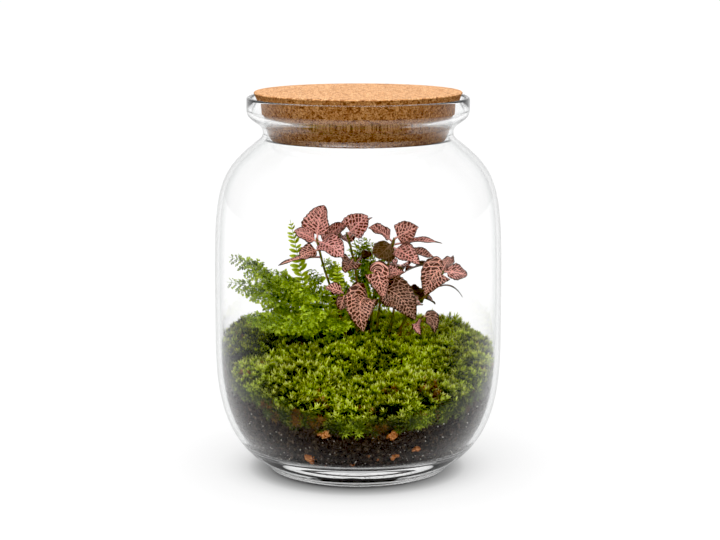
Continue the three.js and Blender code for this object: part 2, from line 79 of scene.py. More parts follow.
# The moss: how high a cushion's edge is, how wide the crevices are, how deep its dome and its shoots' roots
# lie under its height, how far apart shoots stand, and the turn in radians from leaf to leaf of a shoot.
MOSS_EDGE = 3.5
CREVICE = 1.3
MOSS_DEPTH = 2.6
SHOOT_DEPTH = 3.6
SHOOT_PITCH = 2.75
HANGING_TRIES = 1500
GOLDEN_ANGLE = 2.399963

# Fern and nerve plant: how deep they root, the bare share of a rib, how far a frond is rolled to the front in
# degrees, what leaflets and leaves keep clear of the glass, and a leaf's stalk and fold as shares.
ROOT_DEPTH = 6.0
FROND_BARE, FORK_BARE = 0.32, 0.16
FROND_ROLL = 50.0
LEAFLET_CLEAR, LEAF_CLEAR = 0.5, 0.4
LEAF_STALK = 0.16
LEAF_FOLD = 0.25


def unit(v):
    """Vectors of length one along the last axis."""
    return v / np.maximum(np.linalg.norm(v, axis=-1, keepdims=True), 1e-12)


def around_axis(reach, angle, z):
    """Points at a distance from the jar's axis, an angle round it and a height."""
    return np.stack(np.broadcast_arrays(reach * np.cos(angle), reach * np.sin(angle), z), axis=-1)


def circle(steps):
    """Angles evenly round a full turn, the last one a step short of the first."""
    return np.linspace(0, 2 * np.pi, steps, endpoint=False)


def bezier(corners, t):
    """Points of a Bezier curve: neighbouring corners are mixed by t, again and again, until one is left."""
    rows = np.repeat(np.asarray(corners, float)[:, None, :], len(t), axis=1)
    t = np.asarray(t, float)[:, None]
    while len(rows) > 1:
        rows = rows[:-1] * (1 - t) + rows[1:] * t
    return rows[0]


def slopes(corners, t):
    """Unit tangents of a Bezier curve: its corner differences are the corners of its derivative."""
    return unit(bezier(np.diff(np.asarray(corners, float), axis=0), t))


def between(a, b, low, high, s):
    """The straight mix of a and b that is a where s is low and b where s is high."""
    return (high - s) / (high - low) * a + (s - low) / (high - low) * b


def lengths(points):
    """How far along a chain of points each one lies."""
    return np.concatenate([[0], np.cumsum(np.linalg.norm(np.diff(points, axis=0), axis=1))])


def through(points, t):
    """Points of a smooth curve through given points: a centripetal Catmull-Rom spline. Four neighbouring
    points are mixed down to three, two and one, at knots that lie the root of the distance apart, and the
    end points are mirrored outwards. t runs from 0 at the first point to 1 at the last, evenly by length."""
    given = np.asarray(points, float)
    given = np.vstack([2 * given[0] - given[1], given, 2 * given[-1] - given[-2]])
    fine = []
    for k in range(1, len(given) - 2):
        four = given[k - 1:k + 3]
        knots = np.concatenate([[0], np.cumsum(np.linalg.norm(np.diff(four, axis=0), axis=1) ** 0.5)])
        s = np.linspace(knots[1], knots[2], 40)[:, None]
        three = [between(four[i], four[i + 1], knots[i], knots[i + 1], s) for i in range(3)]
        two = [between(three[i], three[i + 1], knots[i], knots[i + 2], s) for i in range(2)]
        fine.append(between(two[0], two[1], knots[1], knots[2], s))
    fine = np.vstack(fine)
    run = lengths(fine)
    return np.column_stack([np.interp(np.asarray(t) * run[-1], run, fine[:, i]) for i in range(3)])


def turned(v, axis, angle):
    """Vectors turned about unit axes by angles in radians (Rodrigues' rule)."""
    cosine = np.cos(angle)[..., None]
    sine = np.sin(angle)[..., None]
    along = np.sum(v * axis, axis=-1, keepdims=True)
    return v * cosine + np.cross(axis, v) * sine + axis * along * (1 - cosine)


def ripple(x, y, seed, waves, shortest, longest):
    """A smooth uneven height, mostly between -1 and 1: 1.6 times the mean of sines, each with its own
    heading, length and phase, the lengths spread from the shortest to the longest."""
    draw = np.random.default_rng(seed)
    total = np.zeros(np.broadcast(x, y).shape)
    for length in np.geomspace(shortest, longest, waves):
        way = draw.uniform(0, 2 * np.pi)
        phase = draw.uniform(0, 2 * np.pi)
        total += np.sin((x * math.cos(way) + y * math.sin(way)) * 2 * np.pi / length + phase)
    return total / waves * 1.6


# Meshes

def grid_faces(rows, columns, closed=False):
    """Quadrilaterals of a grid of points, row by row; a closed grid joins its last column to its first."""
    low = np.arange(rows - 1)[:, None] * columns
    high = low + columns
    here = np.arange(columns if closed else columns - 1)[None, :]
    ahead = (here + 1) % columns
    return np.stack([low + here, low + ahead, high + ahead, high + here], axis=-1).reshape(-1, 4)


def closed_faces(rows, columns):
    """Faces of a stack of rings that two more points, last in the list, close at its start and its end."""
    here = np.arange(columns)
    ahead = (here + 1) % columns
    n = rows * columns
    last = n - columns
    start = np.column_stack([np.full(columns, n), ahead, here])
    end = np.column_stack([np.full(columns, n + 1), last + here, last + ahead])
    return [grid_faces(rows, columns, closed=True), start, end]


class Shape:
    """Points and faces gathered for one piece, with numbers carried by every point."""

    def __init__(self, *carried):
        self.points, self.faces, self.count = [], [], 0
        self.carried = {name: [] for name in carried}

    def add(self, points, faces, **carried):
        """Adds points with their faces; each carried number is one value or one for every point."""
        points = np.asarray(points, float).reshape(-1, 3)
        self.points.append(points)
        for f in faces if isinstance(faces, (list, tuple)) else [faces]:
            self.faces.append(np.asarray(f) + self.count)
        for name, rows in self.carried.items():
            value = np.asarray(carried.get(name, 0.0), float)
            rows.append(np.broadcast_to(value.reshape(-1) if value.ndim else value, (len(points),)))
        self.count += len(points)
        return self

    def piece(self, name, material, smooth=True):
        """The gathered shape as one object, with its carried numbers as point attributes."""
        mesh = bpy.data.meshes.new(name)
        points = np.vstack(self.points) * MM
        sizes = np.concatenate([np.full(len(f), f.shape[1]) for f in self.faces])
        corners = np.concatenate([f.reshape(-1) for f in self.faces])
        starts = np.concatenate([[0], np.cumsum(sizes)[:-1]])
        mesh.vertices.add(len(points))
        mesh.vertices.foreach_set("co", points.reshape(-1))
        mesh.loops.add(len(corners))
        mesh.loops.foreach_set("vertex_index", corners.astype(np.int32))
        mesh.polygons.add(len(sizes))
        mesh.polygons.foreach_set("loop_start", starts.astype(np.int32))
        mesh.polygons.foreach_set("use_smooth", np.full(len(sizes), smooth))
        for label, rows in self.carried.items():
            values = np.concatenate(rows).astype(np.float32)
            mesh.attributes.new(label, "FLOAT", "POINT").data.foreach_set("value", values)
        mesh.update(calc_edges=True)
        mesh.materials.append(material)
        piece = bpy.data.objects.new(name, mesh)
        bpy.context.scene.collection.objects.link(piece)
        return piece


def lathed(profile, segments):
    """A surface of revolution about Z: every profile point (radius, height) becomes a ring, and the first
    and the last, on the axis, stay one point each and close the skin. A profile that runs out from the
    axis, up and back in gives faces that point outwards."""
    profile = np.asarray(profile, float)
    body = profile[1:-1]
    rings = around_axis(body[:, :1], circle(segments), body[:, 1:])
    points = np.vstack([rings.reshape(-1, 3), [0, 0, profile[0, 1]], [0, 0, profile[-1, 1]]])
    return points, closed_faces(len(body), segments)


def shells(middle, normal, half):
    """Closed thin blades from sheets: middle and normal have the shape (blade, row, column, 3), half is
    half the thickness. Each sheet is copied to both sides along its normals, and a strip of faces runs
    round its edge. Gives points (blade, 2 * row * column, 3) and faces for one blade."""
    blades, rows, columns = middle.shape[:3]
    n = rows * columns
    upper = (middle + normal * half).reshape(blades, n, 3)
    lower = (middle - normal * half).reshape(blades, n, 3)
    top = grid_faces(rows, columns)
    at = np.arange(n).reshape(rows, columns)
    edge = np.concatenate([at[0, :-1], at[:-1, -1], at[-1, :0:-1], at[:0:-1, 0]])
    ahead = np.roll(edge, -1)
    rim = np.column_stack([ahead, edge, edge + n, ahead + n])
    return np.concatenate([upper, lower], axis=1), np.vstack([top, top[:, ::-1] + n, rim])


def repeated(points, faces):
    """Faces of one shape repeated for many copies: points has the shape (copy, point, 3)."""
    copies, n = points.shape[:2]
    steps = (np.arange(copies) * n)[:, None, None]
    return points.reshape(-1, 3), (faces[None] + steps).reshape(-1, faces.shape[1])


def tube(path, radius, sides):
    """A round tube along a path of points, closed at both ends: rings of points lie square to the path,
    carried along it without twisting, and the radius may change along it."""
    path = np.asarray(path, float)
    along = unit(np.gradient(path, axis=0))
    side = np.zeros_like(path)
    side[0] = unit(np.cross(along[0], [0.3, 1.0, 0.2]))
    for k in range(1, len(path)):
        side[k] = unit(side[k - 1] - along[k] * np.dot(side[k - 1], along[k]))
    other = np.cross(along, side)
    angle = circle(sides)[None, :, None]
    radius = np.broadcast_to(np.asarray(radius, float), (len(path),))[:, None, None]
    rings = path[:, None] + radius * (side[:, None] * np.cos(angle) + other[:, None] * np.sin(angle))
    points = np.vstack([rings.reshape(-1, 3), path[:1], path[-1:]])
    return points, closed_faces(len(path), sides)


# Materials

# A Mix node's sockets for two colours, by number: the share of the second, the first, the second and, among
# its outputs, the mixed one. Its two kinds lay the second colour over the first or multiply both.
SHARE, FIRST, SECOND, MIXED = 0, 6, 7, 2
OVERLAID = {"data_type": "RGBA", "blend_type": "MIX"}
MULTIPLIED = {"data_type": "RGBA", "blend_type": "MULTIPLY"}


def colour(code):
    """An sRGB hex value as a linear colour, by the sRGB curve."""
    parts = [int(code[i:i + 2], 16) / 255 for i in (1, 3, 5)]
    return (*[c / 12.92 if c <= 0.04045 else ((c + 0.055) / 1.055) ** 2.4 for c in parts], 1.0)


def feed(tree, node, sockets):
    """Gives a node's input sockets, by name or in their order, a plain value, the colour of a hex value or
    the output of another node."""
    for key, value in sockets.items() if isinstance(sockets, dict) else enumerate(sockets):
        if isinstance(value, bpy.types.NodeSocket):
            tree.links.new(value, node.inputs[key])
        else:
            node.inputs[key].default_value = colour(value) if isinstance(value, str) else value


def add(tree, kind, sockets=(), stops=(), **settings):
    """Adds a node with its own settings, what feeds its sockets and, on a colour ramp, its stops of place
    and hex value. Gives its outputs."""
    node = tree.nodes.new("ShaderNode" + kind)
    for key, value in settings.items():
        setattr(node, key, value)
    feed(tree, node, sockets)
    if stops:
        bar = node.color_ramp
        while len(bar.elements) < len(stops):
            bar.elements.new(0.5)
        for element, (place, code) in zip(bar.elements, stops):
            element.position = place
            element.color = colour(code)
    return node.outputs


def material(name, sockets):
    """A material with one Principled shader, whose sockets are fed."""
    made = bpy.data.materials.new(name)
    made.use_nodes = True
    shader = made.node_tree.nodes["Principled BSDF"]
    feed(made.node_tree, shader, sockets)
    return made, made.node_tree, shader


def clear_glass(name, gloss):
    # Soda-lime glass, blown into a mould and fire-polished: colourless through the wall, and grey through the
    # heavy bottom, because the glass takes a little light on the way. Where the eye looks along the wall,
    # towards the outline, it is grey partly for the same reason and partly by painted shade: the facing angle
    # greys the base colour and draws a dark edge. The gloss tints its reflection: the body shows its planting
    # with hardly one, and the thick collar shines.
    made, tree, shader = material(name, {"Roughness": 0.0, "IOR": 1.5, "Transmission Weight": 1.0,
                                         "Specular Tint": gloss})
    dimming = add(tree, "VolumeAbsorption", {"Color": "#808280", "Density": 1.3})
    feed(tree, tree.nodes["Material Output"], {"Volume": dimming["Volume"]})
    # Painted shade: the base colour greys towards the outline, by the facing angle, and draws its dark edge.
    facing = add(tree, "LayerWeight", {"Blend": 0.5})["Facing"]
    painted_outline_shade = add(tree, "ValToRGB", (facing,), stops=(
        (0.0, "#FFFFFF"), (0.6, "#FFFFFF"), (0.72, "#F6F7F7"), (0.8, "#DADCDC"), (0.9, "#9C9E9E"),
        (1.0, "#5C5E5E")))
    feed(tree, shader, {"Base Color": painted_outline_shade[0]})
    return made


def agglomerated_cork():
    # Cork granules of 1 to 3 mm pressed with a binder, then turned and sanded: a matt tan face with fine
    # brown specks where the darker back of the bark shows. The turned side is darker and browner, with
    # coarser dark specks: painted shade, for the side that stands in shadow below the lit top.
    made, tree, shader = material("agglomerated_cork", {"Roughness": 0.82, "IOR": 1.4})
    place = add(tree, "TexCoord")["Object"]
    granule = {"Vector": place, "Scale": 1 / (1.9 * MM), "Randomness": 1.0}
    grains = add(tree, "TexVoronoi", granule)["Color"]
    edges = add(tree, "TexVoronoi", granule, feature="DISTANCE_TO_EDGE")["Distance"]
    noise = {"Vector": place, "Scale": 1 / (1.1 * MM), "Detail": 2.0, "Roughness": 0.6}
    specks = add(tree, "TexNoise", noise)["Fac"]
    tone = add(tree, "SeparateColor", (grains,))["Red"]
    base = add(tree, "ValToRGB", (tone,), stops=(
        (0.0, "#845630"), (0.16, "#A87648"), (0.4, "#C09062"), (0.8, "#CEA478"), (1.0, "#B58250")))[0]
    seam = add(tree, "ValToRGB", (edges,), stops=((0.0, "#7A4A22"), (0.09, "#FFFFFF")))[0]
    fine = add(tree, "ValToRGB", (specks,), stops=((0.34, "#4A2A12"), (0.44, "#FFFFFF")))[0]
    side_shade_specks = add(tree, "ValToRGB", (specks,), stops=(
        (0.38, "#946C48"), (0.5, "#F2EEE6"), (0.58, "#FFFFFF")))[0]
    face, side = base, base
    for share, layer in ((0.8, seam), (0.6, fine)):
        face = add(tree, "Mix", {SHARE: share, FIRST: face, SECOND: layer}, **MULTIPLIED)[MIXED]
    # Painted shade on the turned side: coarse dark specks and a brown multiply darken it.
    for share, layer in ((0.4, seam), (0.9, side_shade_specks), (1.0, "#FFF0D2")):
        side = add(tree, "Mix", {SHARE: share, FIRST: side, SECOND: layer}, **MULTIPLIED)[MIXED]
    painted_side_shade = add(tree, "Attribute", attribute_name="side")["Fac"]
    both = add(tree, "Mix", {SHARE: painted_side_shade, FIRST: face, SECOND: side}, **OVERLAID)[MIXED]
    height = add(tree, "Math", (edges, 0.6, specks), operation="MULTIPLY_ADD")[0]
    bump = add(tree, "Bump", {"Strength": 0.5, "Distance": 0.35 * MM, "Height": height})["Normal"]
    feed(tree, shader, {"Base Color": both, "Normal": bump})
    return made


def potting_soil():
    # Damp peat and leaf mould, crumbled: nearly black, with crumbs of 1 to 3 mm and paler dust on a few.
    # Perlite grains are white and bits of bark rust-brown.
    made, tree, shader = material("potting_soil", {"Roughness": 0.78, "IOR": 1.4})
    place = add(tree, "TexCoord")["Object"]
    noise = {"Vector": place, "Scale": 1 / (2.6 * MM), "Detail": 5.0, "Roughness": 0.7}
    crumbs = add(tree, "TexNoise", noise)["Fac"]
    face = add(tree, "ValToRGB", (crumbs,), stops=(
        (0.3, "#120D0A"), (0.47, "#221A15"), (0.58, "#42362C"), (0.7, "#7E6C5A")))[0]
    rust = add(tree, "ValToRGB", (crumbs,), stops=((0.35, "#6A3216"), (0.6, "#B87038")))[0]
    for name, layer in (("bark", rust), ("grey", "#CFC9BF")):
        share = add(tree, "Attribute", attribute_name=name)["Fac"]
        face = add(tree, "Mix", {SHARE: share, FIRST: face, SECOND: layer}, **OVERLAID)[MIXED]
    bump = add(tree, "Bump", {"Strength": 0.9, "Distance": 0.6 * MM, "Height": crumbs})["Normal"]
    feed(tree, shader, {"Base Color": face, "Normal": bump})
    return made


def pine_bark():
    # Flakes of pine bark, broken by hand: layered rust-brown, with pale edges where they snapped.
    made, tree, shader = material("pine_bark", {"Roughness": 0.8, "IOR": 1.4})
    place = add(tree, "TexCoord")["Object"]
    noise = {"Vector": place, "Scale": 1 / (1.6 * MM), "Detail": 4.0, "Distortion": 1.2}
    layers = add(tree, "TexNoise", noise)["Fac"]
    face = add(tree, "ValToRGB", (layers,), stops=(
        (0.32, "#4A2410"), (0.43, "#944C22"), (0.52, "#C67A3A"), (0.66, "#F0B478")))[0]
    bump = add(tree, "Bump", {"Strength": 0.7, "Distance": 0.5 * MM, "Height": layers})["Normal"]
    feed(tree, shader, {"Base Color": face, "Normal": bump})
    return made


def living_moss():
    # Living moss shoots: translucent leaves a cell or two thick, brown and dark inside the cushion, bright
    # yellow-green at the growing tips, fresher in some patches and withered to straw in a few. The dark end
    # of
    # the ramp is partly painted shade: nearly black low in the cushion and on the dome in the gaps between
    # shoots.
    made, tree, shader = material("living_moss", {"Roughness": 0.5, "IOR": 1.4})
    tip = add(tree, "Attribute", attribute_name="tip")["Fac"]
    tone = add(tree, "Attribute", attribute_name="tone")["Fac"]
    face = add(tree, "ValToRGB", (tip,), stops=(
        (0.0, "#0E0E04"), (0.3, "#30380A"), (0.53, "#848E20"), (0.74, "#D2DA48"), (0.95, "#F8FAA0")))[0]
    fresh = add(tree, "ValToRGB", (tip,), stops=(
        (0.0, "#101404"), (0.3, "#566810"), (0.52, "#BCD230"), (0.72, "#E8F658"), (0.92, "#FCFFA0")))[0]
    straw = add(tree, "ValToRGB", (tip,), stops=(
        (0.0, "#120A04"), (0.4, "#6A4616"), (0.75, "#B88A3C"), (1.0, "#E4CC8A")))[0]
    for layer, stops in ((fresh, ((0.45, "#000000"), (0.8, "#FFFFFF"))),
                         (straw, ((0.0, "#FFFFFF"), (0.08, "#FFFFFF"), (0.14, "#000000")))):
        share = add(tree, "ValToRGB", (tone,), stops=stops)[0]
        face = add(tree, "Mix", {SHARE: share, FIRST: face, SECOND: layer}, **OVERLAID)[MIXED]
    feed(tree, shader, {"Base Color": face})
    return made


def fern_frond():
    # Living fern: thin soft leaflets with a faint sheen, fresher on young fronds. Painted shade darkens each
    # leaflet towards the rib that it grows from, so it is lighter towards its lobes and tips.
    made, tree, shader = material("fern_frond", {"Roughness": 0.48, "IOR": 1.4})
    tone = add(tree, "Attribute", attribute_name="tone")["Fac"]
    out = add(tree, "Attribute", attribute_name="out")["Fac"]
    face = add(tree, "ValToRGB", (out,), stops=((0.0, "#1A2604"), (1.0, "#5E780C")))[0]
    grown = add(tree, "ValToRGB", (out,), stops=(
        (0.0, "#2A3A06"), (0.4, "#6E8812"), (0.75, "#AEC82C"), (1.0, "#E0F05A")))[0]
    young = add(tree, "ValToRGB", (out,), stops=((0.0, "#728812"), (0.5, "#A8BE24"), (1.0, "#EAF65C")))[0]
    for layer, low, high in ((grown, 0.15, 0.55), (young, 0.55, 0.9)):
        share = add(tree, "ValToRGB", (tone,), stops=((low, "#000000"), (high, "#FFFFFF")))[0]
        face = add(tree, "Mix", {SHARE: share, FIRST: face, SECOND: layer}, **OVERLAID)[MIXED]
    feed(tree, shader, {"Base Color": face})
    return made


def nerve_plant_leaf():
    # Living nerve plant leaf: a dark brown-green blade with a raised net of salmon-pink veins. A vein shows
    # where the midrib, a side vein or the edge of a cell in the plane of the net is near. On young leaves
    # the veins widen until only small dark islands are left, and the edge stays dark.
    made, tree, shader = material("nerve_plant_leaf", {"Roughness": 0.42, "IOR": 1.42})
    net = add(tree, "UVMap", uv_map="net")["UV"]
    pink, under, rib, edge = [add(tree, "Attribute", attribute_name=name)["Fac"]
                              for name in ("pink", "under", "rib", "edge")]
    noise = {"Vector": net, "Scale": 1.3, "Detail": 1.0}
    wobble = add(tree, "TexNoise", noise, noise_dimensions="2D")["Color"]
    shifted = add(tree, "VectorMath", (wobble, (0.5, 0.5, 0.5), net), operation="MULTIPLY_ADD")[0]
    near = add(tree, "TexVoronoi", {"Vector": shifted, "Scale": 1.0, "Randomness": 0.8},
               feature="DISTANCE_TO_EDGE", voronoi_dimensions="2D")["Distance"]
    along = add(tree, "SeparateXYZ", (shifted,))["X"]
    part = add(tree, "Math", (along,), operation="FRACT")[0]
    side = add(tree, "Math", (part, 0.5), operation="PINGPONG")[0]
    for line in (side, rib):
        near = add(tree, "Math", (near, line), operation="MINIMUM")[0]
    width = add(tree, "Math", (pink, 0.1, 0.03), operation="MULTIPLY_ADD")[0]
    past = add(tree, "Math", (near, width), operation="SUBTRACT")[0]
    vein = add(tree, "Math", (past, -20.0, 0.5), operation="MULTIPLY_ADD", use_clamp=True)[0]
    dark = add(tree, "Mix", {SHARE: pink, FIRST: "#3A200C", SECOND: "#743A2C"}, **OVERLAID)[MIXED]
    rose = add(tree, "Mix", {SHARE: pink, FIRST: "#FFBE9E", SECOND: "#F8B2AC"}, **OVERLAID)[MIXED]
    faint = add(tree, "Math", (vein, 0.6), operation="MULTIPLY")[0]
    back = add(tree, "Mix", {SHARE: faint, FIRST: "#54401E", SECOND: "#A07C5C"}, **OVERLAID)[MIXED]
    face = dark
    for share, layer in ((vein, rose), (edge, "#33280F"), (under, back)):
        face = add(tree, "Mix", {SHARE: share, FIRST: face, SECOND: layer}, **OVERLAID)[MIXED]
    bump = add(tree, "Bump", {"Strength": 0.35, "Distance": 0.25 * MM, "Height": vein})["Normal"]
    feed(tree, shader, {"Base Color": face, "Normal": bump})
    return made


def plant_stem():
    # Living stem: green-brown, finely streaked, with a soft sheen.
    made, tree, shader = material("plant_stem", {"Roughness": 0.55, "IOR": 1.4})
    place = add(tree, "TexCoord")["Object"]
    streak = add(tree, "TexNoise", {"Vector": place, "Scale": 1 / (3.0 * MM), "Detail": 2.0})["Fac"]
    face = add(tree, "ValToRGB", (streak,), stops=((0.35, "#4E5A1E"), (0.5, "#75702E"), (0.65, "#8E6A40")))[0]
    feed(tree, shader, {"Base Color": face})
    return made


GLASS = clear_glass("soda_lime_glass", "#0C0C0C")
COLLAR_GLASS = clear_glass("soda_lime_glass_collar", "#FFFFFF")
CORK = agglomerated_cork()
SOIL = potting_soil()
BARK = pine_bark()
MOSS = living_moss()
FERN = fern_frond()
LEAF = nerve_plant_leaf()
STEM = plant_stem()


def settle(piece, slot, *nodes):
    """Puts a piece on the body and hides the nodes that it stands for. The slot is not used."""
    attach(piece, "root")
    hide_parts(*nodes)
    return piece


# Jar

def outer_profile():
    """The jar's outside above its low upright foot, in Bezier curves: a wide quarter curve, a straight belly
    and round shoulder, a narrow neck and a collar that flares to an upright band."""
    belly, collar = BELLY_RADIUS, COLLAR_RADIUS
    curves = [
        ([(FOOT_RADIUS + 2, FOOT_HEIGHT), (belly + 2, 26), (belly, 79), (belly, BELLY_LOW)], 30),
        ([(belly, BELLY_HIGH), (belly, 220), (belly - 3, 229), NECK_LOW], 36),
        ([NECK_LOW, (71.8, 256.5), NECK_HIGH], 8),
        ([NECK_HIGH, (73.4, 267), (collar, 268), (collar, COLLAR_BAND)], 14),
    ]
    low, high, neck, flare = [bezier(corners, np.linspace(0, 1, n + 1)) for corners, n in curves]
    return np.vstack([low, high, neck[1:], flare[1:]])


def round_corner(centre, radius, start, end, steps=6):
    """Points of an arc about a centre, between two angles in degrees."""
    angle = np.radians(np.linspace(start, end, steps))
    return np.column_stack([centre[0] + radius * np.cos(angle), centre[1] + radius * np.sin(angle)])


def inner_profile():
    """The inside of the wall: the outside moved in by the wall's thickness along its normals, and a round
    corner, 10 mm wide and 5 mm high, into the flat top of the heavy bottom."""
    outer = outer_profile()
    along = unit(np.gradient(outer, axis=0))
    inner = outer + WALL * np.column_stack([-along[:, 1], along[:, 0]])
    inner = inner[inner[:, 1] > FLOOR + 5]
    reach = inner[0, 0]
    corner = bezier([(reach - 10, FLOOR), (reach - 3, FLOOR), tuple(inner[0])], np.linspace(0, 1, 12))
    return np.vstack([corner[:-1], inner])


INSIDE = inner_profile()


def clear_radius(z):
    """The clear radius inside the jar at a height, a fit short of the glass. The solid jar has flat sides,
    so the radius is the one to the middle of a side."""
    return np.interp(z, INSIDE[:, 1], INSIDE[:, 0]) * math.cos(math.pi / JAR_SIDES) - FIT


def kept_inside(points, margin=0.0):
    """Points drawn in towards the axis where they would pass the glass or come nearer than the margin."""
    reach = np.hypot(points[..., 0], points[..., 1])
    limit = clear_radius(points[..., 2]) - margin
    share = np.minimum(1.0, limit / np.maximum(reach, 1e-9))
    return np.stack([points[..., 0] * share, points[..., 1] * share, points[..., 2]], axis=-1)


def glass_jar():
    """A closed lathed skin: up the outside from a low upright foot with a rounded edge and a slightly
    hollow underside, over a fire-polished rim, and down the inside to the thick floor."""
    rim_round = WALL / 2
    rim = round_corner((COLLAR_RADIUS - rim_round, JAR_HEIGHT - rim_round), rim_round, 0, 180, 12)
    under = [(0, 1.2), (30, 1.1), (56, 0.7), (62, 0.25), (FOOT_RADIUS - 5, 0)]
    heel = round_corner((FOOT_RADIUS - HEEL_ROUND, HEEL_ROUND), HEEL_ROUND, -90, 0)
    ledge = [(FOOT_RADIUS + 0.2, FOOT_HEIGHT - 0.9), (FOOT_RADIUS + 0.8, FOOT_HEIGHT - 0.3)]
    inside = INSIDE[INSIDE[:, 1] < JAR_HEIGHT - 3][::-1]
    floor = [(inside[-1, 0] * share, FLOOR) for share in (0.8, 0.5, 0.25, 0)]
    profile = np.vstack([under, heel, ledge, outer_profile(), rim, inside, floor])
    points, faces = lathed(profile, segments=144)
    piece = Shape().add(points, faces).piece("glass_jar_blown", GLASS)
    piece.data.materials.append(COLLAR_GLASS)
    heights = np.concatenate([points[f][..., 2].mean(axis=1) for f in faces])
    shiny = sum((heights > low) & (heights < high) for low, high in GLOSSY_BANDS)
    piece.data.polygons.foreach_set("material_index", shiny.astype(np.int32))
    return settle(piece, "clear_glass", "glass_jar")


def cork_stopper():
    """A lathed plug: flat faces, small broken edges and a side that tapers downwards. A ripple moves the
    side by about 0.2 mm at most, so that no edge is machine-true. The number side is 0 on the top face and
    1 on the turned side below its edge, which the material darkens as painted shade."""
    share = np.linspace(0.04, 0.96, 16)
    taper = np.column_stack([CORK_BOTTOM_RADIUS + (CORK_TOP_RADIUS - CORK_BOTTOM_RADIUS) * share,
                             CORK_BOTTOM + (CORK_TOP - CORK_BOTTOM) * share])
    low_round, top_round = 0.9, 1.2
    low = round_corner((CORK_BOTTOM_RADIUS - low_round, CORK_BOTTOM + low_round), low_round, -90, 0)
    high = round_corner((CORK_TOP_RADIUS - top_round, CORK_TOP - top_round), top_round, 0, 90)
    under = [(r, CORK_BOTTOM) for r in (0, 12, 28, 44, 58)]
    top = [(r, CORK_TOP) for r in (72, 56, 40, 24, 10, 0)]
    points, faces = lathed(np.vstack([under, low, taper, high, top]), segments=160)
    x, y, z = points.T
    rough = 0.15 * ripple(x + z, y - z, seed=31, waves=9, shortest=2.0, longest=9.0)
    edge = np.clip(np.hypot(x, y) / 60 - 0.9, 0, 1)
    out = unit(points * [1, 1, 0] + 1e-9)
    side = np.clip((CORK_TOP - 0.4 - z) / 0.6, 0, 1)
    shape = Shape("side").add(points + out * ((rough - 0.05) * edge)[:, None], faces, side=side)
    return settle(shape.piece("cork_stopper_pressed", CORK), "cork", "cork_stopper")


# Soil and bark

# Each bark chip: the way round and the height of its middle, its size and how far it leans.
CHIPS = {
    "bark_chip_front_left": (-104, 48.5, 9, 20),
    "bark_chip_front_right": (-75, 48, 9, 50),
    "bark_chip_low_left": (-113, 27, 8, 10),
    "bark_chip_low_middle": (-73, 29, 6, 35),
    "bark_chip_low_right": (-63, 34, 6, 0),
}

# Half the length and half the height of a chip of size 1, and half the height of the oval round it.
CHIP_LONG, CHIP_HIGH, CHIP_OVAL = 0.6, 0.375, 0.42

# Rings of the bed's underside: how far out each lies, and whether it touches the glass floor.
UNDERSIDE = ((7, False), (14, False), (14.4, True), (30, True), (44.8, True), (45.2, False), (54, False),
             (61, False), (63, False), (64, False))


def over_chip(angle, z, margin):
    """True where a place at the glass lies over a bark chip or nearer to it than the margin: inside an oval
    about the chip's middle, grown by the margin."""
    over = np.zeros(np.broadcast(angle, z).shape, bool)
    for around, height, size, _ in CHIPS.values():
        apart = (angle - math.radians(around) + np.pi) % (2 * np.pi) - np.pi
        along = apart * clear_radius(height) / (CHIP_LONG * size + margin)
        up = (z - height) / (CHIP_OVAL * size + margin)
        over |= along ** 2 + up ** 2 < 1
    return over


def soil_edge(angle):
    """Height of the soil at the glass, a sum of sines of the angle: low in front, higher at the sides and
    the back."""
    return 74.75 - 3 * np.cos(angle) + 15.5 * np.sin(angle) + 6.25 * np.cos(2 * angle)


def soil_top(x, y):
    """The soil rises from the glass to a low crown in the middle, by a power of the share of the way out."""
    out = np.minimum(np.hypot(x, y) / (BELLY_RADIUS - WALL), 1)
    edge = soil_edge(np.arctan2(y, x))
    return edge + (SOIL_CROWN - edge) * (1 - out ** 1.4)


def crumb_height(u, v, seed):
    """Crumbs on a surface, from 0 in the gaps to 1 on the crumbs: folded ripples of two sizes."""
    big = 1 - np.abs(ripple(u, v, seed=seed, waves=9, shortest=4.0, longest=11.0))
    small = 1 - np.abs(ripple(u, v, seed=seed + 1, waves=9, shortest=1.8, longest=4.5))
    return np.clip(0.55 * big + 0.45 * small, 0, 1)


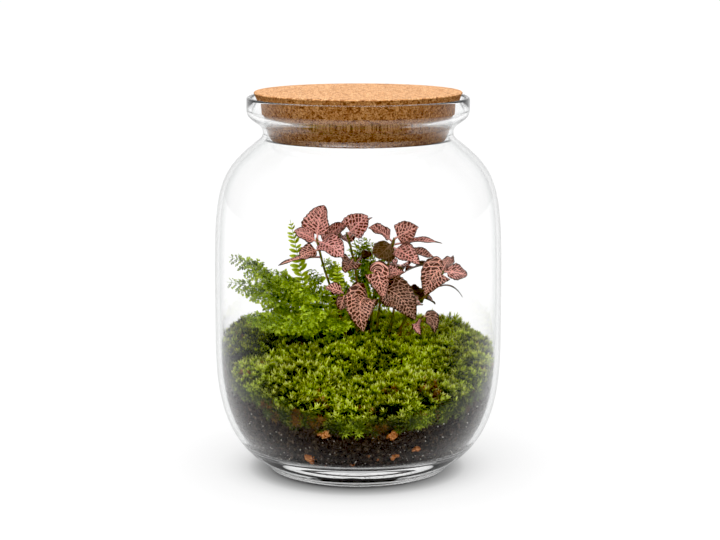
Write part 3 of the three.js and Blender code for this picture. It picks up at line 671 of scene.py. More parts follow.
def soil_bed():
    """Rings from the middle of the underside out, up the glass and in over the top. The underside lies a
    fit above the glass floor, apart from the wet rings that touch it. Above it, each point is drawn in from
    the fit by up to 3.2 mm, as the crumbs and the gaps between them leave it, by 2.2 mm more behind a bark
    chip, and at the bottom by a ragged 1 to 3.5 mm more and up by 1.4 mm, which fades out over the height
    SOIL_DRAWN_IN. Loose crumbs lie against the glass, and wet ones on its floor."""
    segments = 560
    angle = circle(segments)
    base = FLOOR + FIT
    edge = soil_edge(angle)
    uneven = 1.2 * ripple(angle * 45, 0 * angle, seed=58, waves=9, shortest=3.0, longest=30.0)
    rows = []
    for reach, wet in UNDERSIDE:
        rows.append(around_axis(reach + uneven, angle, FLOOR - WET_CONTACT if wet else base))
    for share in np.linspace(0, 1, 58)[1:]:
        z = base + share * (edge - base)
        rows.append(around_axis(clear_radius(z), angle, z))
    for share in (0.97, 0.92, 0.85, 0.76, 0.65, 0.52, 0.38, 0.24, 0.1):
        x, y, _ = around_axis(share * clear_radius(edge), angle, 0).T
        rows.append(np.column_stack([x, y, soil_top(x, y)]))
    grid = np.stack(rows)
    z = grid[..., 2]
    crumbs = crumb_height(angle * 100, z + 0.3 * np.hypot(grid[..., 0], grid[..., 1]), 51)
    depth = 3.2 * (1 - crumbs) + 2.2 * over_chip(angle, z, 0.2)
    low = np.clip((FLOOR + SOIL_DRAWN_IN - z) / SOIL_DRAWN_IN, 0, 1)
    ragged = 0.5 + 0.5 * ripple(angle * 90, 0 * angle, seed=57, waves=7, shortest=4.0, longest=30.0)
    above = np.clip((z - base) * 50 - 0.5, 0, 1)
    inward = ((depth + (1.0 + 2.5 * ragged) * low) * above)[..., None]
    grid = kept_inside(grid - unit(grid * [1, 1, 0] + 1e-9) * inward)
    grid[..., 2] += 1.4 * low * above
    middle = [[0, 0, base + 0.5], [0, 0, SOIL_CROWN - 0.5]]
    shape = Shape("grey", "bark")
    shape.add(np.vstack([grid.reshape(-1, 3), middle]), closed_faces(len(rows), segments))
    points, faces, grey, bark = loose_crumbs(count=3500, seed=61)
    shape.add(points, faces, grey=grey, bark=bark)
    shape.add(*resting_crumbs(count=500, seed=62))
    return settle(shape.piece("soil_crumbled", SOIL), "soil", "soil")


def lump():
    """A roundish lump with 20 faces, from the golden ratio's twelve corners."""
    g = (1 + 5 ** 0.5) / 2
    corners = unit(np.array([[-1, g, 0], [1, g, 0], [-1, -g, 0], [1, -g, 0], [0, -1, g], [0, 1, g],
                             [0, -1, -g], [0, 1, -g], [g, 0, -1], [g, 0, 1], [-g, 0, -1], [-g, 0, 1]]))
    faces = np.array([[0, 11, 5], [0, 5, 1], [0, 1, 7], [0, 7, 10], [0, 10, 11], [1, 5, 9], [5, 11, 4],
                      [11, 10, 2], [10, 7, 6], [7, 1, 8], [3, 9, 4], [3, 4, 2], [3, 2, 6], [3, 6, 8],
                      [3, 8, 9], [4, 9, 5], [2, 4, 11], [6, 2, 10], [8, 6, 7], [9, 8, 1]])
    return corners, faces


def loose_crumbs(count, seed):
    """Crumbs pressed against the glass: each is a lump stretched unevenly, mostly 0.5 to 2.5 mm across,
    with its middle three quarters of its half width inside the glass. More than half lie low, within 11 mm
    of the glass floor. PERLITE_SHARE of them are perlite, white and smaller, and BARK_SHARE are bits of
    bark, 3 to 5 mm across. None lies over a bark chip."""
    draw = np.random.default_rng(seed)
    corners, faces = lump()
    angle = draw.uniform(0, 2 * np.pi, count)
    z = FLOOR + 1.5 + (soil_edge(angle) - FLOOR - 4) * draw.uniform(0, 1, count) ** 1.15
    low = draw.uniform(0, 1, count) < 0.55
    z = np.where(low, FLOOR + 0.6 + 10 * draw.uniform(0, 1, count) ** 1.4, z)
    size = draw.uniform(0.5, 1.5, count) * draw.uniform(0.6, 1, count) * np.where(low, 0.72, 1.0)
    kind = draw.uniform(0, 1, count)
    white, bark = kind < PERLITE_SHARE, kind > 1 - BARK_SHARE
    size = np.where(white, 0.4 * size + 0.1, np.where(bark, 1.4 + size, size))
    middle = around_axis(clear_radius(z) - 0.75 * size, angle, z + 0.4 * size)
    stretch = draw.uniform(0.6, 1.15, (count, 1, 3)) * draw.uniform(0.8, 1.2, (count, len(corners), 1))
    points = middle[:, None] + corners[None] * stretch * size[:, None, None]
    clear = ~over_chip(angle, z, -0.6)
    points, faces = repeated(kept_inside(points[clear], 0.05), faces)
    grey, rust = [np.repeat(chosen[clear].astype(float), len(corners)) for chosen in (white, bark)]
    return points, faces, grey, rust


def resting_crumbs(count, seed):
    """Wet crumbs that stick to the glass floor under the rim of the bed, where the heavy bottom shows them
    as dark specks: flattened lumps 0.4 to 2.4 mm across, cut off flat at the glass."""
    draw = np.random.default_rng(seed)
    corners, faces = lump()
    reach = np.sqrt(draw.uniform(46.0 ** 2, 66.5 ** 2, count))
    angle = draw.uniform(0, 2 * np.pi, count)
    size = draw.uniform(0.3, 1.0, count)[:, None, None] * draw.uniform(0.7, 1.2, (count, len(corners), 1))
    points = around_axis(reach, angle, FLOOR + 0.15)[:, None] + corners[None] * size * [1, 1, 0.5]
    points[..., 2] = np.maximum(points[..., 2], FLOOR - WET_CONTACT)
    return repeated(points, faces)


def bark_chips():
    """Each chip is a flat flake against the glass: a grid over the unit disc, made ragged at its edge by
    sines of the angle, layered by a ripple of the place, leaned, and closed by shells()."""
    rows, columns = 9, 33
    angle = np.linspace(0, 2 * np.pi, columns)
    share = np.linspace(0.02, 1, rows)[:, None]
    for k, (name, (around, height, size, turn)) in enumerate(CHIPS.items()):
        low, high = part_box(name)
        centre = (np.array(low) + np.array(high)) / 2 / MM
        ragged = 0.2 * np.sin(3 * angle + k) + 0.14 * np.sin(5 * angle + 2 * k) + 0.08 * np.sin(11 * angle)
        half = share * 0.93 * size * (1 + ragged)
        u, v = CHIP_LONG * half * np.cos(angle), CHIP_HIGH * half * np.sin(angle)
        lean = np.radians(turn)
        u, v = u * math.cos(lean) - v * math.sin(lean), u * math.sin(lean) + v * math.cos(lean)
        way = np.radians(around)
        out = np.array([math.cos(way), math.sin(way), 0.0])
        across = np.array([-math.sin(way), math.cos(way), 0.0])
        tilt = math.atan2(clear_radius(height + 3) - clear_radius(height - 3), 6)
        up = np.array([0, 0, math.cos(tilt)]) + out * math.sin(tilt)
        face = np.cross(across, up)
        wave = 0.3 * ripple(u, v, seed=70 + k, waves=5, shortest=3.0, longest=8.0)
        middle = centre + u[..., None] * across + v[..., None] * up + wave[..., None] * face
        normal = np.broadcast_to(face, middle.shape)
        thick = 0.9 * np.sqrt(1 - 0.7 * share ** 4)[..., None]
        points, faces = shells(middle[None], normal[None], thick[None])
        shape = Shape().add(kept_inside(points[0]), faces)
        settle(shape.piece(name + "_flake", BARK), "bark", name)


# Moss

CUSHIONS = {
    "moss_left": ((-84, -2), 13),
    "moss_front_left": ((-50, -60), 10),
    "moss_front_right": ((28, -76), 8),
    "moss_middle": ((6, -36), 11),
    "moss_right": ((76, -14), 10),
    "moss_back_right": ((44, 70), 9),
    "moss_back_left": ((-42, 70), 10),
}

# How much darker a cushion's shoots are, as a part of their tip's number, and where the withered spots are.
SHADED = {"moss_left": 0.25, "moss_right": 0.12, "moss_middle": 0.14}
WITHERED = ((-92, -8), (-27, -92), (24, -82), (52, -76))
WITHERED_RADIUS = 7
# The spot that the cushions leave to the planting, and how far out a hanging shoot looks for its cushion.
PLANTING_SPOT = (0.0, 16.0)
MOSS_WAY = 104.0


def cushion_reach(name, angle):
    """How far a cushion reaches from its middle at an angle: a soft minimum of the way to the glass and the
    ways to the lines halfway to its neighbours' middles, less half a crevice. The ways are raised to the
    power -14 and summed, and the sum to the power -1/14."""
    middle = np.array(CUSHIONS[name][0], float)
    way = np.stack([np.cos(angle), np.sin(angle)], axis=-1)
    limit = clear_radius(soil_edge(math.atan2(middle[1], middle[0])))
    across = way @ middle
    bounds = [-across + np.sqrt(across ** 2 - middle @ middle + limit ** 2)]
    for other in [m for n, (m, _) in CUSHIONS.items() if n != name] + [PLANTING_SPOT]:
        apart = np.array(other, float) - middle
        length = np.linalg.norm(apart)
        toward = way @ apart
        halfway = length * (length - CREVICE) / (2 * np.maximum(toward, 1e-6))
        bounds.append(np.where(toward > 1e-6, halfway, 1e9))
    return sum(bound ** -14.0 for bound in bounds) ** (-1 / 14) * 0.99


def cushion_height(name, share):
    """A cushion's dome over the soil: a low edge and a rounded crown."""
    return MOSS_EDGE + CUSHIONS[name][1] * np.sqrt(np.clip(1 - share ** 4, 0, 1))


def tufts(x, y):
    """Taller and lower tufts, 12 to 40 mm across, that pass from cushion to cushion: one ripple for all."""
    return ripple(x, y, seed=8, waves=7, shortest=12.0, longest=40.0)


def moss_shoot():
    """One shoot, root down and 1 unit tall: leaves in a rising spiral round a thin stem, spreading wide
    below and closing to a star at the tip. A leaf is a keeled blade of four faces: root and tip lie on the
    keel, and its two sides are raised a little beyond the middle."""
    count = 14
    k = np.arange(count) / (count - 1)
    turn = np.arange(count) * GOLDEN_ANGLE
    low = 0.34 + 0.5 * k ** 0.8
    lift = np.radians(12 + 58 * k ** 1.5)
    long = (0.7 - 0.22 * k)[:, None]
    wide = (0.082 - 0.02 * k)[:, None]
    out = around_axis(1.0, turn, 0.0)
    side = around_axis(1.0, turn + np.pi / 2, 0.0)
    up = np.array([0, 0, 1.0])
    along = out * np.cos(lift)[:, None] + up * np.sin(lift)[:, None]
    over = -out * np.sin(lift)[:, None] + up * np.cos(lift)[:, None]
    root = up * low[:, None]
    belly = root + 0.42 * long * along + 0.5 * wide * over
    end = root + long * along + 0.12 * long * over
    leaves = np.stack([root, belly - side * wide, end, belly + side * wide], axis=1)
    points, faces = repeated(leaves, np.array([[0, 2, 1], [0, 3, 2], [1, 2, 3], [0, 1, 3]]))
    tip = np.tile([0.25, 0.66, 1.0, 0.66], count) * np.repeat(0.42 + 0.58 * k ** 1.3, 4)
    stem = np.array([[0.03, 0, -0.15], [-0.015, 0.026, -0.15], [-0.015, -0.026, -0.15], [0, 0, 0.9]])
    faces = np.vstack([faces, np.array([[0, 1, 3], [1, 2, 3], [2, 0, 3], [0, 2, 1]]) + len(points)])
    return np.vstack([points, stem]), faces, np.concatenate([tip, [0.1, 0.1, 0.1, 0.5]])


def spread(span, pitch, draw):
    """Places on a jittered triangular grid over a square about the origin: rows 0.866 of the pitch apart,
    every other one moved by half a pitch."""
    line = np.arange(-span, span, pitch)
    x, y = np.meshgrid(line, line * 0.866)
    x = x + (np.arange(len(line)) % 2 * pitch / 2)[:, None]
    x, y = x.reshape(-1), y.reshape(-1)
    return x + draw.uniform(-0.45, 0.45, x.shape) * pitch, y + draw.uniform(-0.45, 0.45, y.shape) * pitch


def cushion_dome(index, name):
    """The dome under the shoots, nearly black: the brown inside of the cushion and painted shade in the gaps
    between shoots. Rings from the crown out, at the cushion's height less MOSS_DEPTH, made uneven by the
    tufts and a finer ripple, and one more ring that goes down into the soil."""
    rows, columns = 21, 96
    (mx, my), _ = CUSHIONS[name]
    angle = circle(columns)
    share = np.linspace(0, 1, rows + 1)[1:, None]
    reach = cushion_reach(name, angle)
    x = mx + share * reach * np.cos(angle)
    y = my + share * reach * np.sin(angle)
    uneven = 2.4 * tufts(x, y) + 0.8 * ripple(x, y, seed=90 + index, waves=7, shortest=3.0, longest=9.0)
    height = cushion_height(name, share) - MOSS_DEPTH + uneven
    dome = kept_inside(np.stack([x, y, soil_top(x, y) + height], axis=-1), 0.4)
    skirt = dome[-1].copy()
    skirt[:, 2] = soil_top(skirt[:, 0], skirt[:, 1]) - 0.5
    crown = [mx, my, soil_top(mx, my) + cushion_height(name, 0.0) - MOSS_DEPTH]
    floor = [mx, my, soil_top(mx, my) - 0.5]
    points = np.vstack([dome.reshape(-1, 3), kept_inside(skirt, 0.4), [crown, floor]])
    return points, [faces[:, ::-1] for faces in closed_faces(rows + 1, columns)]


def standing_shoots(name, draw):
    """Where the shoots on a cushion root, how they lean and how their tuft swells. They stand on a jittered
    triangular grid, follow the dome, rise in tufts and over a low hill at the planting, and lean out
    towards the cushion's edge. Away from the glass they close the crevices to 62 % of the crown."""
    (mx, my), crown = CUSHIONS[name]
    gx, gy = spread(72, SHOOT_PITCH, draw)
    around = np.arctan2(gy, gx)
    part = np.hypot(gx, gy) / cushion_reach(name, around)
    keep = part < (1.12 if name == "moss_middle" else 1.02)
    x, y, part, around = mx + gx[keep], my + gy[keep], part[keep], around[keep]
    swell = tufts(x, y)
    inner = np.clip((clear_radius(soil_edge(np.arctan2(y, x))) - np.hypot(x, y)) / 16 - 0.5, 0, 1)
    height = np.maximum(cushion_height(name, np.minimum(part, 1) ** 2), (MOSS_EDGE + 0.62 * crown) * inner)
    hill = 2.5 * np.exp(-(np.hypot(x - 6, y + 4) / 20) ** 2)
    z = soil_top(x, y) + height - SHOOT_DEPTH + 2.0 * swell + hill
    return np.column_stack([x, y, z]), around_axis(0.9 * part ** 4, around, 1.0), swell


def hanging_shoots(index, draw):
    """Where the shoots along the glass root and how they lean, on the stretch nearest to a cushion. They hang
    over the soil's edge by up to 10 mm where a ripple of the angle lets them, and keep off the bark chips."""
    turn = draw.uniform(-np.pi, np.pi, HANGING_TRIES)
    at = around_axis(MOSS_WAY, turn, 0.0)
    gap = [np.hypot(at[:, 0] - x, at[:, 1] - y) for (x, y), _ in CUSHIONS.values()]
    turn = turn[np.argmin(gap, axis=0) == index]
    uneven = ripple(turn * 90, 0 * turn, seed=44, waves=6, shortest=12.0, longest=60.0)
    hang = np.clip(2.5 + 7 * uneven, 0, 10) * draw.uniform(-0.25, 1, len(turn))
    z = soil_edge(turn) + 1.5 - hang
    clear = ~over_chip(turn, z, 4.0)
    turn, z = turn[clear], z[clear]
    reach = clear_radius(z) - draw.uniform(1.2, 3.4, len(turn))
    return around_axis(reach, turn, z), around_axis(1.0, turn, draw.uniform(-0.4, 0.9, len(turn)))


def moss_cushion(index, name):
    """A dark dome with shoots standing all over it and more along the glass. They lean a little at random,
    are mostly 5 to 10 mm tall, and one in 25 is half as tall again. A shoot's tone is higher in fresh
    patches, and next to nothing in a withered shoot: 8 in 1000, and about a third in a withered spot."""
    draw = np.random.default_rng(500 + index)
    # The dome's low tip number paints it nearly black: partly the brown inside of the cushion, partly painted
    # shade.
    shape = Shape("tip", "tone").add(*cushion_dome(index, name), tip=0.06, tone=0.3)
    standing, leaning, swell = standing_shoots(name, draw)
    hanging, outward = hanging_shoots(index, draw)
    root = np.vstack([standing, hanging])
    n = len(root)
    hangs = np.arange(n) >= len(standing)
    swell = np.concatenate([swell, np.full(len(hanging), -0.4)])
    up = unit(np.vstack([leaning, outward]) + draw.normal(0, 0.3, (n, 3)))
    side = unit(np.cross(up, unit(draw.normal(0, 1, (n, 3)))))
    other = np.cross(up, side)
    tall = draw.uniform(5.6, 9.0, n) * (1 + 0.12 * swell)
    tall = tall * np.where(draw.uniform(0, 1, n) < 0.04, 1.5, 1.0)
    wide = 9.8 * draw.uniform(0.7, 1.2, n)
    one, faces, tip = moss_shoot()
    points = root[:, None]
    for column, way, size in ((0, side, wide), (1, other, wide), (2, up, tall)):
        points = points + one[None, :, column, None] * (way * size[:, None])[:, None]
    points, faces = repeated(kept_inside(points, draw.uniform(0.05, 1.6, (n, 1))), faces)
    x, y, _ = root.T
    patch = 0.5 + 0.5 * ripple(x, y, seed=12, waves=6, shortest=9.0, longest=60.0)
    tone = np.clip(0.3 + 0.6 * patch + draw.normal(0, 0.15, n) - 0.2 * (name == "moss_left"), 0.2, 1.0)
    near = np.min([np.hypot(x - wx, y - wy) for wx, wy in WITHERED], axis=0) < WITHERED_RADIUS
    tone = np.where(draw.uniform(0, 1, n) < 0.008 + 0.35 * near, 0.04, tone) - 0.2 * hangs
    bright = np.clip(draw.normal(1.0, 0.12, n) + 0.16 * swell + 0.12 * (patch - 0.5), 0.5, 1.15)
    bright = bright - SHADED.get(name, 0.0) - 0.3 * hangs
    shape.add(points, faces, tip=np.outer(bright, tip), tone=np.repeat(tone, len(one)))
    return settle(shape.piece(name + "_shoots", MOSS, smooth=False), "moss", name)


# Fern

# Root on the soil, tip, crest over the higher end, pairs of leaflets in the plain solid, reach.
FRONDS = {
    "fern_left_high": ((-32, 8), (-101, 6, 162), -8, 12, 9),
    "fern_left_middle": ((-35, 2.5), (-100, -14, 146), -4, 11, 9),
    "fern_left_low": ((-35, -3), (-86, -34, 122), 0, 10, 9),
    "fern_left_front": ((-31, -7), (-74, -38, 115), 16, 9, 9),
    "fern_front_left": ((-26, -9), (-54, -46, 112), 26, 10, 9),
    "fern_front": ((-20, -10), (-40, -47, 112), 40, 11, 9),
    "fern_front_right": ((-15, -8), (-14, -43, 111), 22, 9, 8),
    "fern_back_high": ((-31, 12), (-72, 38, 146), -2, 9, 8),
    "fern_upright": ((-37, 12), (-53, 19, 189), -34, 10, 6),
    "fern_bright": ((-17, -2), (-15, -18, 162), -18, 8, 5),
    "fern_middle_left": ((-28.5, 3), (-60, -17, 148), 0, 8, 9),
    "fern_middle_front": ((-23, -3), (-41, -33, 135), 22, 8, 9),
    "fern_back_left": ((-29, 16), (-68, 56, 132), 16, 8, 8),
    "fern_back": ((-23, 15), (-42, 56, 142), 10, 8, 8),
    "fern_rear_upright": ((3, 38), (3, 34, 174), -18, 9, 7),
    "fern_rear_right": ((9, 37), (19, 33, 158), -12, 7, 7),
    "fern_rear_left": ((-2, 42), (-28, 46, 152), 0, 7, 7),
    "fern_rear_side": ((10, 44), (32, 74, 130), 14, 8, 8),
    "fern_rear_low": ((4, 48), (4, 90, 118), 18, 8, 8),
    "fern_rear_low_left": ((-3, 49), (-34, 82, 116), 16, 7, 8),
}
# The half width of uncut leaflets, as a share of their length, and how much wider two rear fronds spread.
OVAL_LEAFLETS = {"fern_upright": 0.22, "fern_bright": 0.15}
WIDE_FRONDS = {"fern_rear_upright": 1.5, "fern_rear_right": 1.5}
# How fresh the youngest fronds are, where 1 is the brightest green.
FRESHNESS = {"fern_bright": 1.05, "fern_upright": 0.8}

# Each fork of a ruffled frond: the share of the way where it leaves the rib, the degrees that it swings out
# sideways, and its length as a share of the way that is left to the tip.
FORKS = ((0.34, -30, 0.7), (0.42, 26, 0.68), (0.56, -17, 0.84), (0.62, 17, 0.82))


def frond_rib(root, tip, crest):
    """The rib's four corners: out of the soil straight up, over a crest at 55 % of the way, to the tip."""
    start = np.array([*root, soil_top(*root) - ROOT_DEPTH], float)
    end = np.array(tip, float)
    over = start + 0.55 * (end - start)
    over[2] = max(start[2], end[2]) + crest
    rising = start.copy()
    rising[2] = start[2] + 0.45 * (over[2] - start[2])
    return [start, rising, over, end]


def lobes(foot, out, across, normal, size, slim, draw):
    """Leaflets cut into rounded lobes, four on each side of a leaflet's midline and one at its end. A lobe is
    a six-cornered outline, u along, v across and w up, with a raised middle on both sides, 12 faces, and is
    turned a little at random. Its length follows the leaflet's outline, and slim, from 0 to 1, makes lobes
    shorter and lean forward more. Gives points (lobe, corner, 3), the faces of one lobe and how far out
    each corner lies."""
    pairs = 4
    way = np.concatenate([np.tile([-1.0, 1.0], pairs), [0.0]])
    s = np.concatenate([np.repeat(np.linspace(0.1, 0.8, pairs), 2), [0.86]]) + 0.04 * way
    leaflets, count = len(foot), len(s)
    shape = (leaflets, count)
    lean = np.radians(38 + 14 * draw.uniform(-1, 1, shape) + 14 * slim[:, None])
    foot, out, across, normal = foot[:, None], out[:, None], across[:, None], normal[:, None]
    size, slim = size[:, None], slim[:, None]
    aim = unit(across * (way * np.cos(lean))[..., None]
               + out * np.where(way == 0, 1.0, np.sin(lean))[..., None]
               + normal * draw.uniform(-0.6, 0.45, shape)[..., None])
    up = turned(unit(np.cross(np.cross(aim, normal), aim)), aim, draw.uniform(-0.7, 0.7, shape))
    wide = np.cross(up, aim)
    swell = np.sin(np.pi * (0.2 + 0.68 * s)) ** 0.8
    long = (size * (0.42 - 0.14 * slim) * swell * draw.uniform(0.75, 1.2, shape))[:, :, None, None]
    root = foot + out * (size * s)[..., None] - normal * (0.2 * size * s ** 2)[..., None]
    u = np.array([-0.12, 0.34, 0.82, 1.04, 0.82, 0.34, 0.5, 0.5])
    v = np.array([0.0, 0.34, 0.3, 0.0, -0.3, -0.34, 0.0, 0.0])
    w = np.array([0.0, 0.1, 0.06, -0.1, 0.06, 0.1, 0.05, -0.05])
    corner = aim[:, :, None] * u[:, None] + wide[:, :, None] * v[:, None] + up[:, :, None] * w[:, None]
    points = (root[:, :, None] + long * corner).reshape(leaflets * count, 8, 3)
    ring = np.arange(6)
    ahead = (ring + 1) % 6
    front = np.column_stack([ahead, ring, np.full(6, 6)])
    back = np.column_stack([ring, ahead, np.full(6, 7)])
    faces = np.vstack([front, back])
    reach = np.clip(0.2 + 0.5 * s[:, None] + 0.3 * u, 0, 1)
    return kept_inside(points, LEAFLET_CLEAR), faces, np.tile(reach, (leaflets, 1, 1)).reshape(-1)


def ovals(foot, out, across, normal, size, width):
    """Oval leaflets over (s along, c across): the half width follows a sine, the margin is waved, the sides
    rise and the end droops, and shells() closes the sheet. Gives points (leaflet, corner, 3), the faces of
    one leaflet and how far out each corner lies."""
    s = np.linspace(0, 1, 8)[None, :, None]
    c = np.linspace(-1, 1, 5)[None, None, :]
    foot, out, across, normal = [v[:, None, None] for v in (foot, out, across, normal)]
    size = size[:, None, None]
    half = size * width * np.maximum(np.sin(np.pi * np.clip(0.06 + 0.92 * s, 0, 1)), 0.05) ** 0.6
    wave = 0.02 * np.abs(c) ** 1.5 * np.sin(22 * s + 1.4 * np.sign(c))
    rise = size * (wave + 0.05 * np.abs(c) - 0.22 * s ** 2)
    sheet = foot + out * (size * s)[..., None] + across * (half * c)[..., None] + normal * rise[..., None]
    points, faces = shells(kept_inside(sheet, LEAFLET_CLEAR), np.broadcast_to(normal, sheet.shape), 0.16)
    reach = np.broadcast_to(0.25 + 0.75 * np.maximum(s, np.abs(c)) ** 1.4, sheet.shape[:3])
    return points, faces, np.tile(reach.reshape(len(points), -1), (1, 2))


def leafed(shape, corners, first, n, reach, oval, fresh, draw):
    """A rib tube on a Bezier curve and n pairs of leaflets from the share first of the way to its tip. A
    leaflet leans forward, droops, twists a little, and its length follows a sine of its place. Where oval
    gives a width, it is one of ovals(), and else it is cut by lobes(), slimmer towards the tip."""
    t = np.linspace(0, 1, 26)
    rib = kept_inside(bezier(corners, t), 1.0)
    shape.add(*tube(rib, radius=0.45 - 0.27 * t, sides=5), tone=0.5, out=0.6)
    k = np.arange(2 * n)
    side = np.where(k % 2 == 0, -1.0, 1.0)
    share = (k // 2 + 0.5) / n + draw.uniform(-0.12, 0.12, 2 * n) / n
    at = first + (0.975 - first) * share
    along = slopes(corners, at)
    level = unit(np.cross(along * [1, 1, 0] + 1e-9, [0, 0, 1.0]))
    across = turned(level, along, np.radians(-FROND_ROLL * level[:, 1]))
    normal = unit(np.cross(across, along))
    swell = np.sin(np.pi * (0.1 + 0.82 * share)) ** 0.8
    long = reach * (1.2 if oval else 1.06) * swell * draw.uniform(0.82, 1.1, 2 * n)
    lean = np.radians(draw.uniform(8, 30, 2 * n) + 18 * share)
    out = across * (side * np.cos(lean))[:, None] + along * np.sin(lean)[:, None]
    tilt = draw.uniform(-0.35, 0.3, 2 * n) - (0.05 if oval else 0.22)
    out = unit(out + normal * tilt[:, None])
    normal = unit(np.cross(np.cross(out, normal), out))
    normal = turned(normal, out, draw.uniform(-0.6, 0.6, 2 * n) * (0.5 if oval else 1.0))
    width_way = np.cross(normal, out)
    foot = bezier(corners, at)
    tone = fresh + draw.normal(0, 0.12, 2 * n)
    if oval:
        points, faces, outward = ovals(foot, out, width_way, normal, long, oval)
        tone = np.repeat(tone, points.shape[1])
    else:
        slim = np.clip(2.2 * share - 0.7, 0, 1)
        points, faces, outward = lobes(foot, out, width_way, normal, long * (1 + 0.2 * slim), slim, draw)
        tone = np.repeat(tone, len(points) // len(foot)) + draw.normal(0, 0.15, len(points))
        tone = np.repeat(tone, points.shape[1])
    points, faces = repeated(points, faces)
    # The number out, how far out a corner lies on its leaflet, sets painted shade: darker towards the rib.
    shape.add(points, faces, tone=tone, out=outward)


def frond(index, name):
    """A leafed rib. A ruffled frond also forks twice on each side: a fork leaves the rib along its slope,
    swings out sideways and ends lower, and is leafed in the same way. The rear fronds are leafed more
    closely, and two of them spread wider."""
    root, tip, crest, pairs, reach = FRONDS[name]
    draw = np.random.default_rng(700 + index)
    oval = OVAL_LEAFLETS.get(name)
    rear = name.startswith("fern_rear")
    fresh = FRESHNESS.get(name, 0.62 if rear else 0.5)
    dense = 2.0 if oval else 2.1 if rear else 1.6
    pitch = 3.4 if rear else 4.4
    wide = WIDE_FRONDS.get(name, 1.0)
    corners = frond_rib(root, tip, crest)
    shape = Shape("tone", "out")
    leafed(shape, corners, FROND_BARE, int(pairs * dense), reach, oval, fresh, draw)
    for leave, swing, length in FORKS if not oval else ():
        start = bezier(corners, [leave])[0]
        way = slopes(corners, [leave])[0]
        aim = turned((np.array(tip, float) - start)[None], np.array([[0, 0, 1.0]]), np.radians([swing]))[0]
        aim = aim + [0.75 * swing * (wide - 1), 0, 0]
        end = start + aim * length - np.array([0, 0, draw.uniform(-4, 4)])
        size = np.linalg.norm(end - start)
        fork = [start, start + way * 0.35 * size, (start + end) / 2 + [0, 0, 0.2 * size], end]
        count = max(4, int(size / pitch))
        leafed(shape, fork, FORK_BARE, count, reach * 0.72 * wide, None, fresh + 0.06, draw)
    return settle(shape.piece(name + "_leaflets", FERN, smooth=bool(oval)), "fern_leaf", name)


# Nerve plant

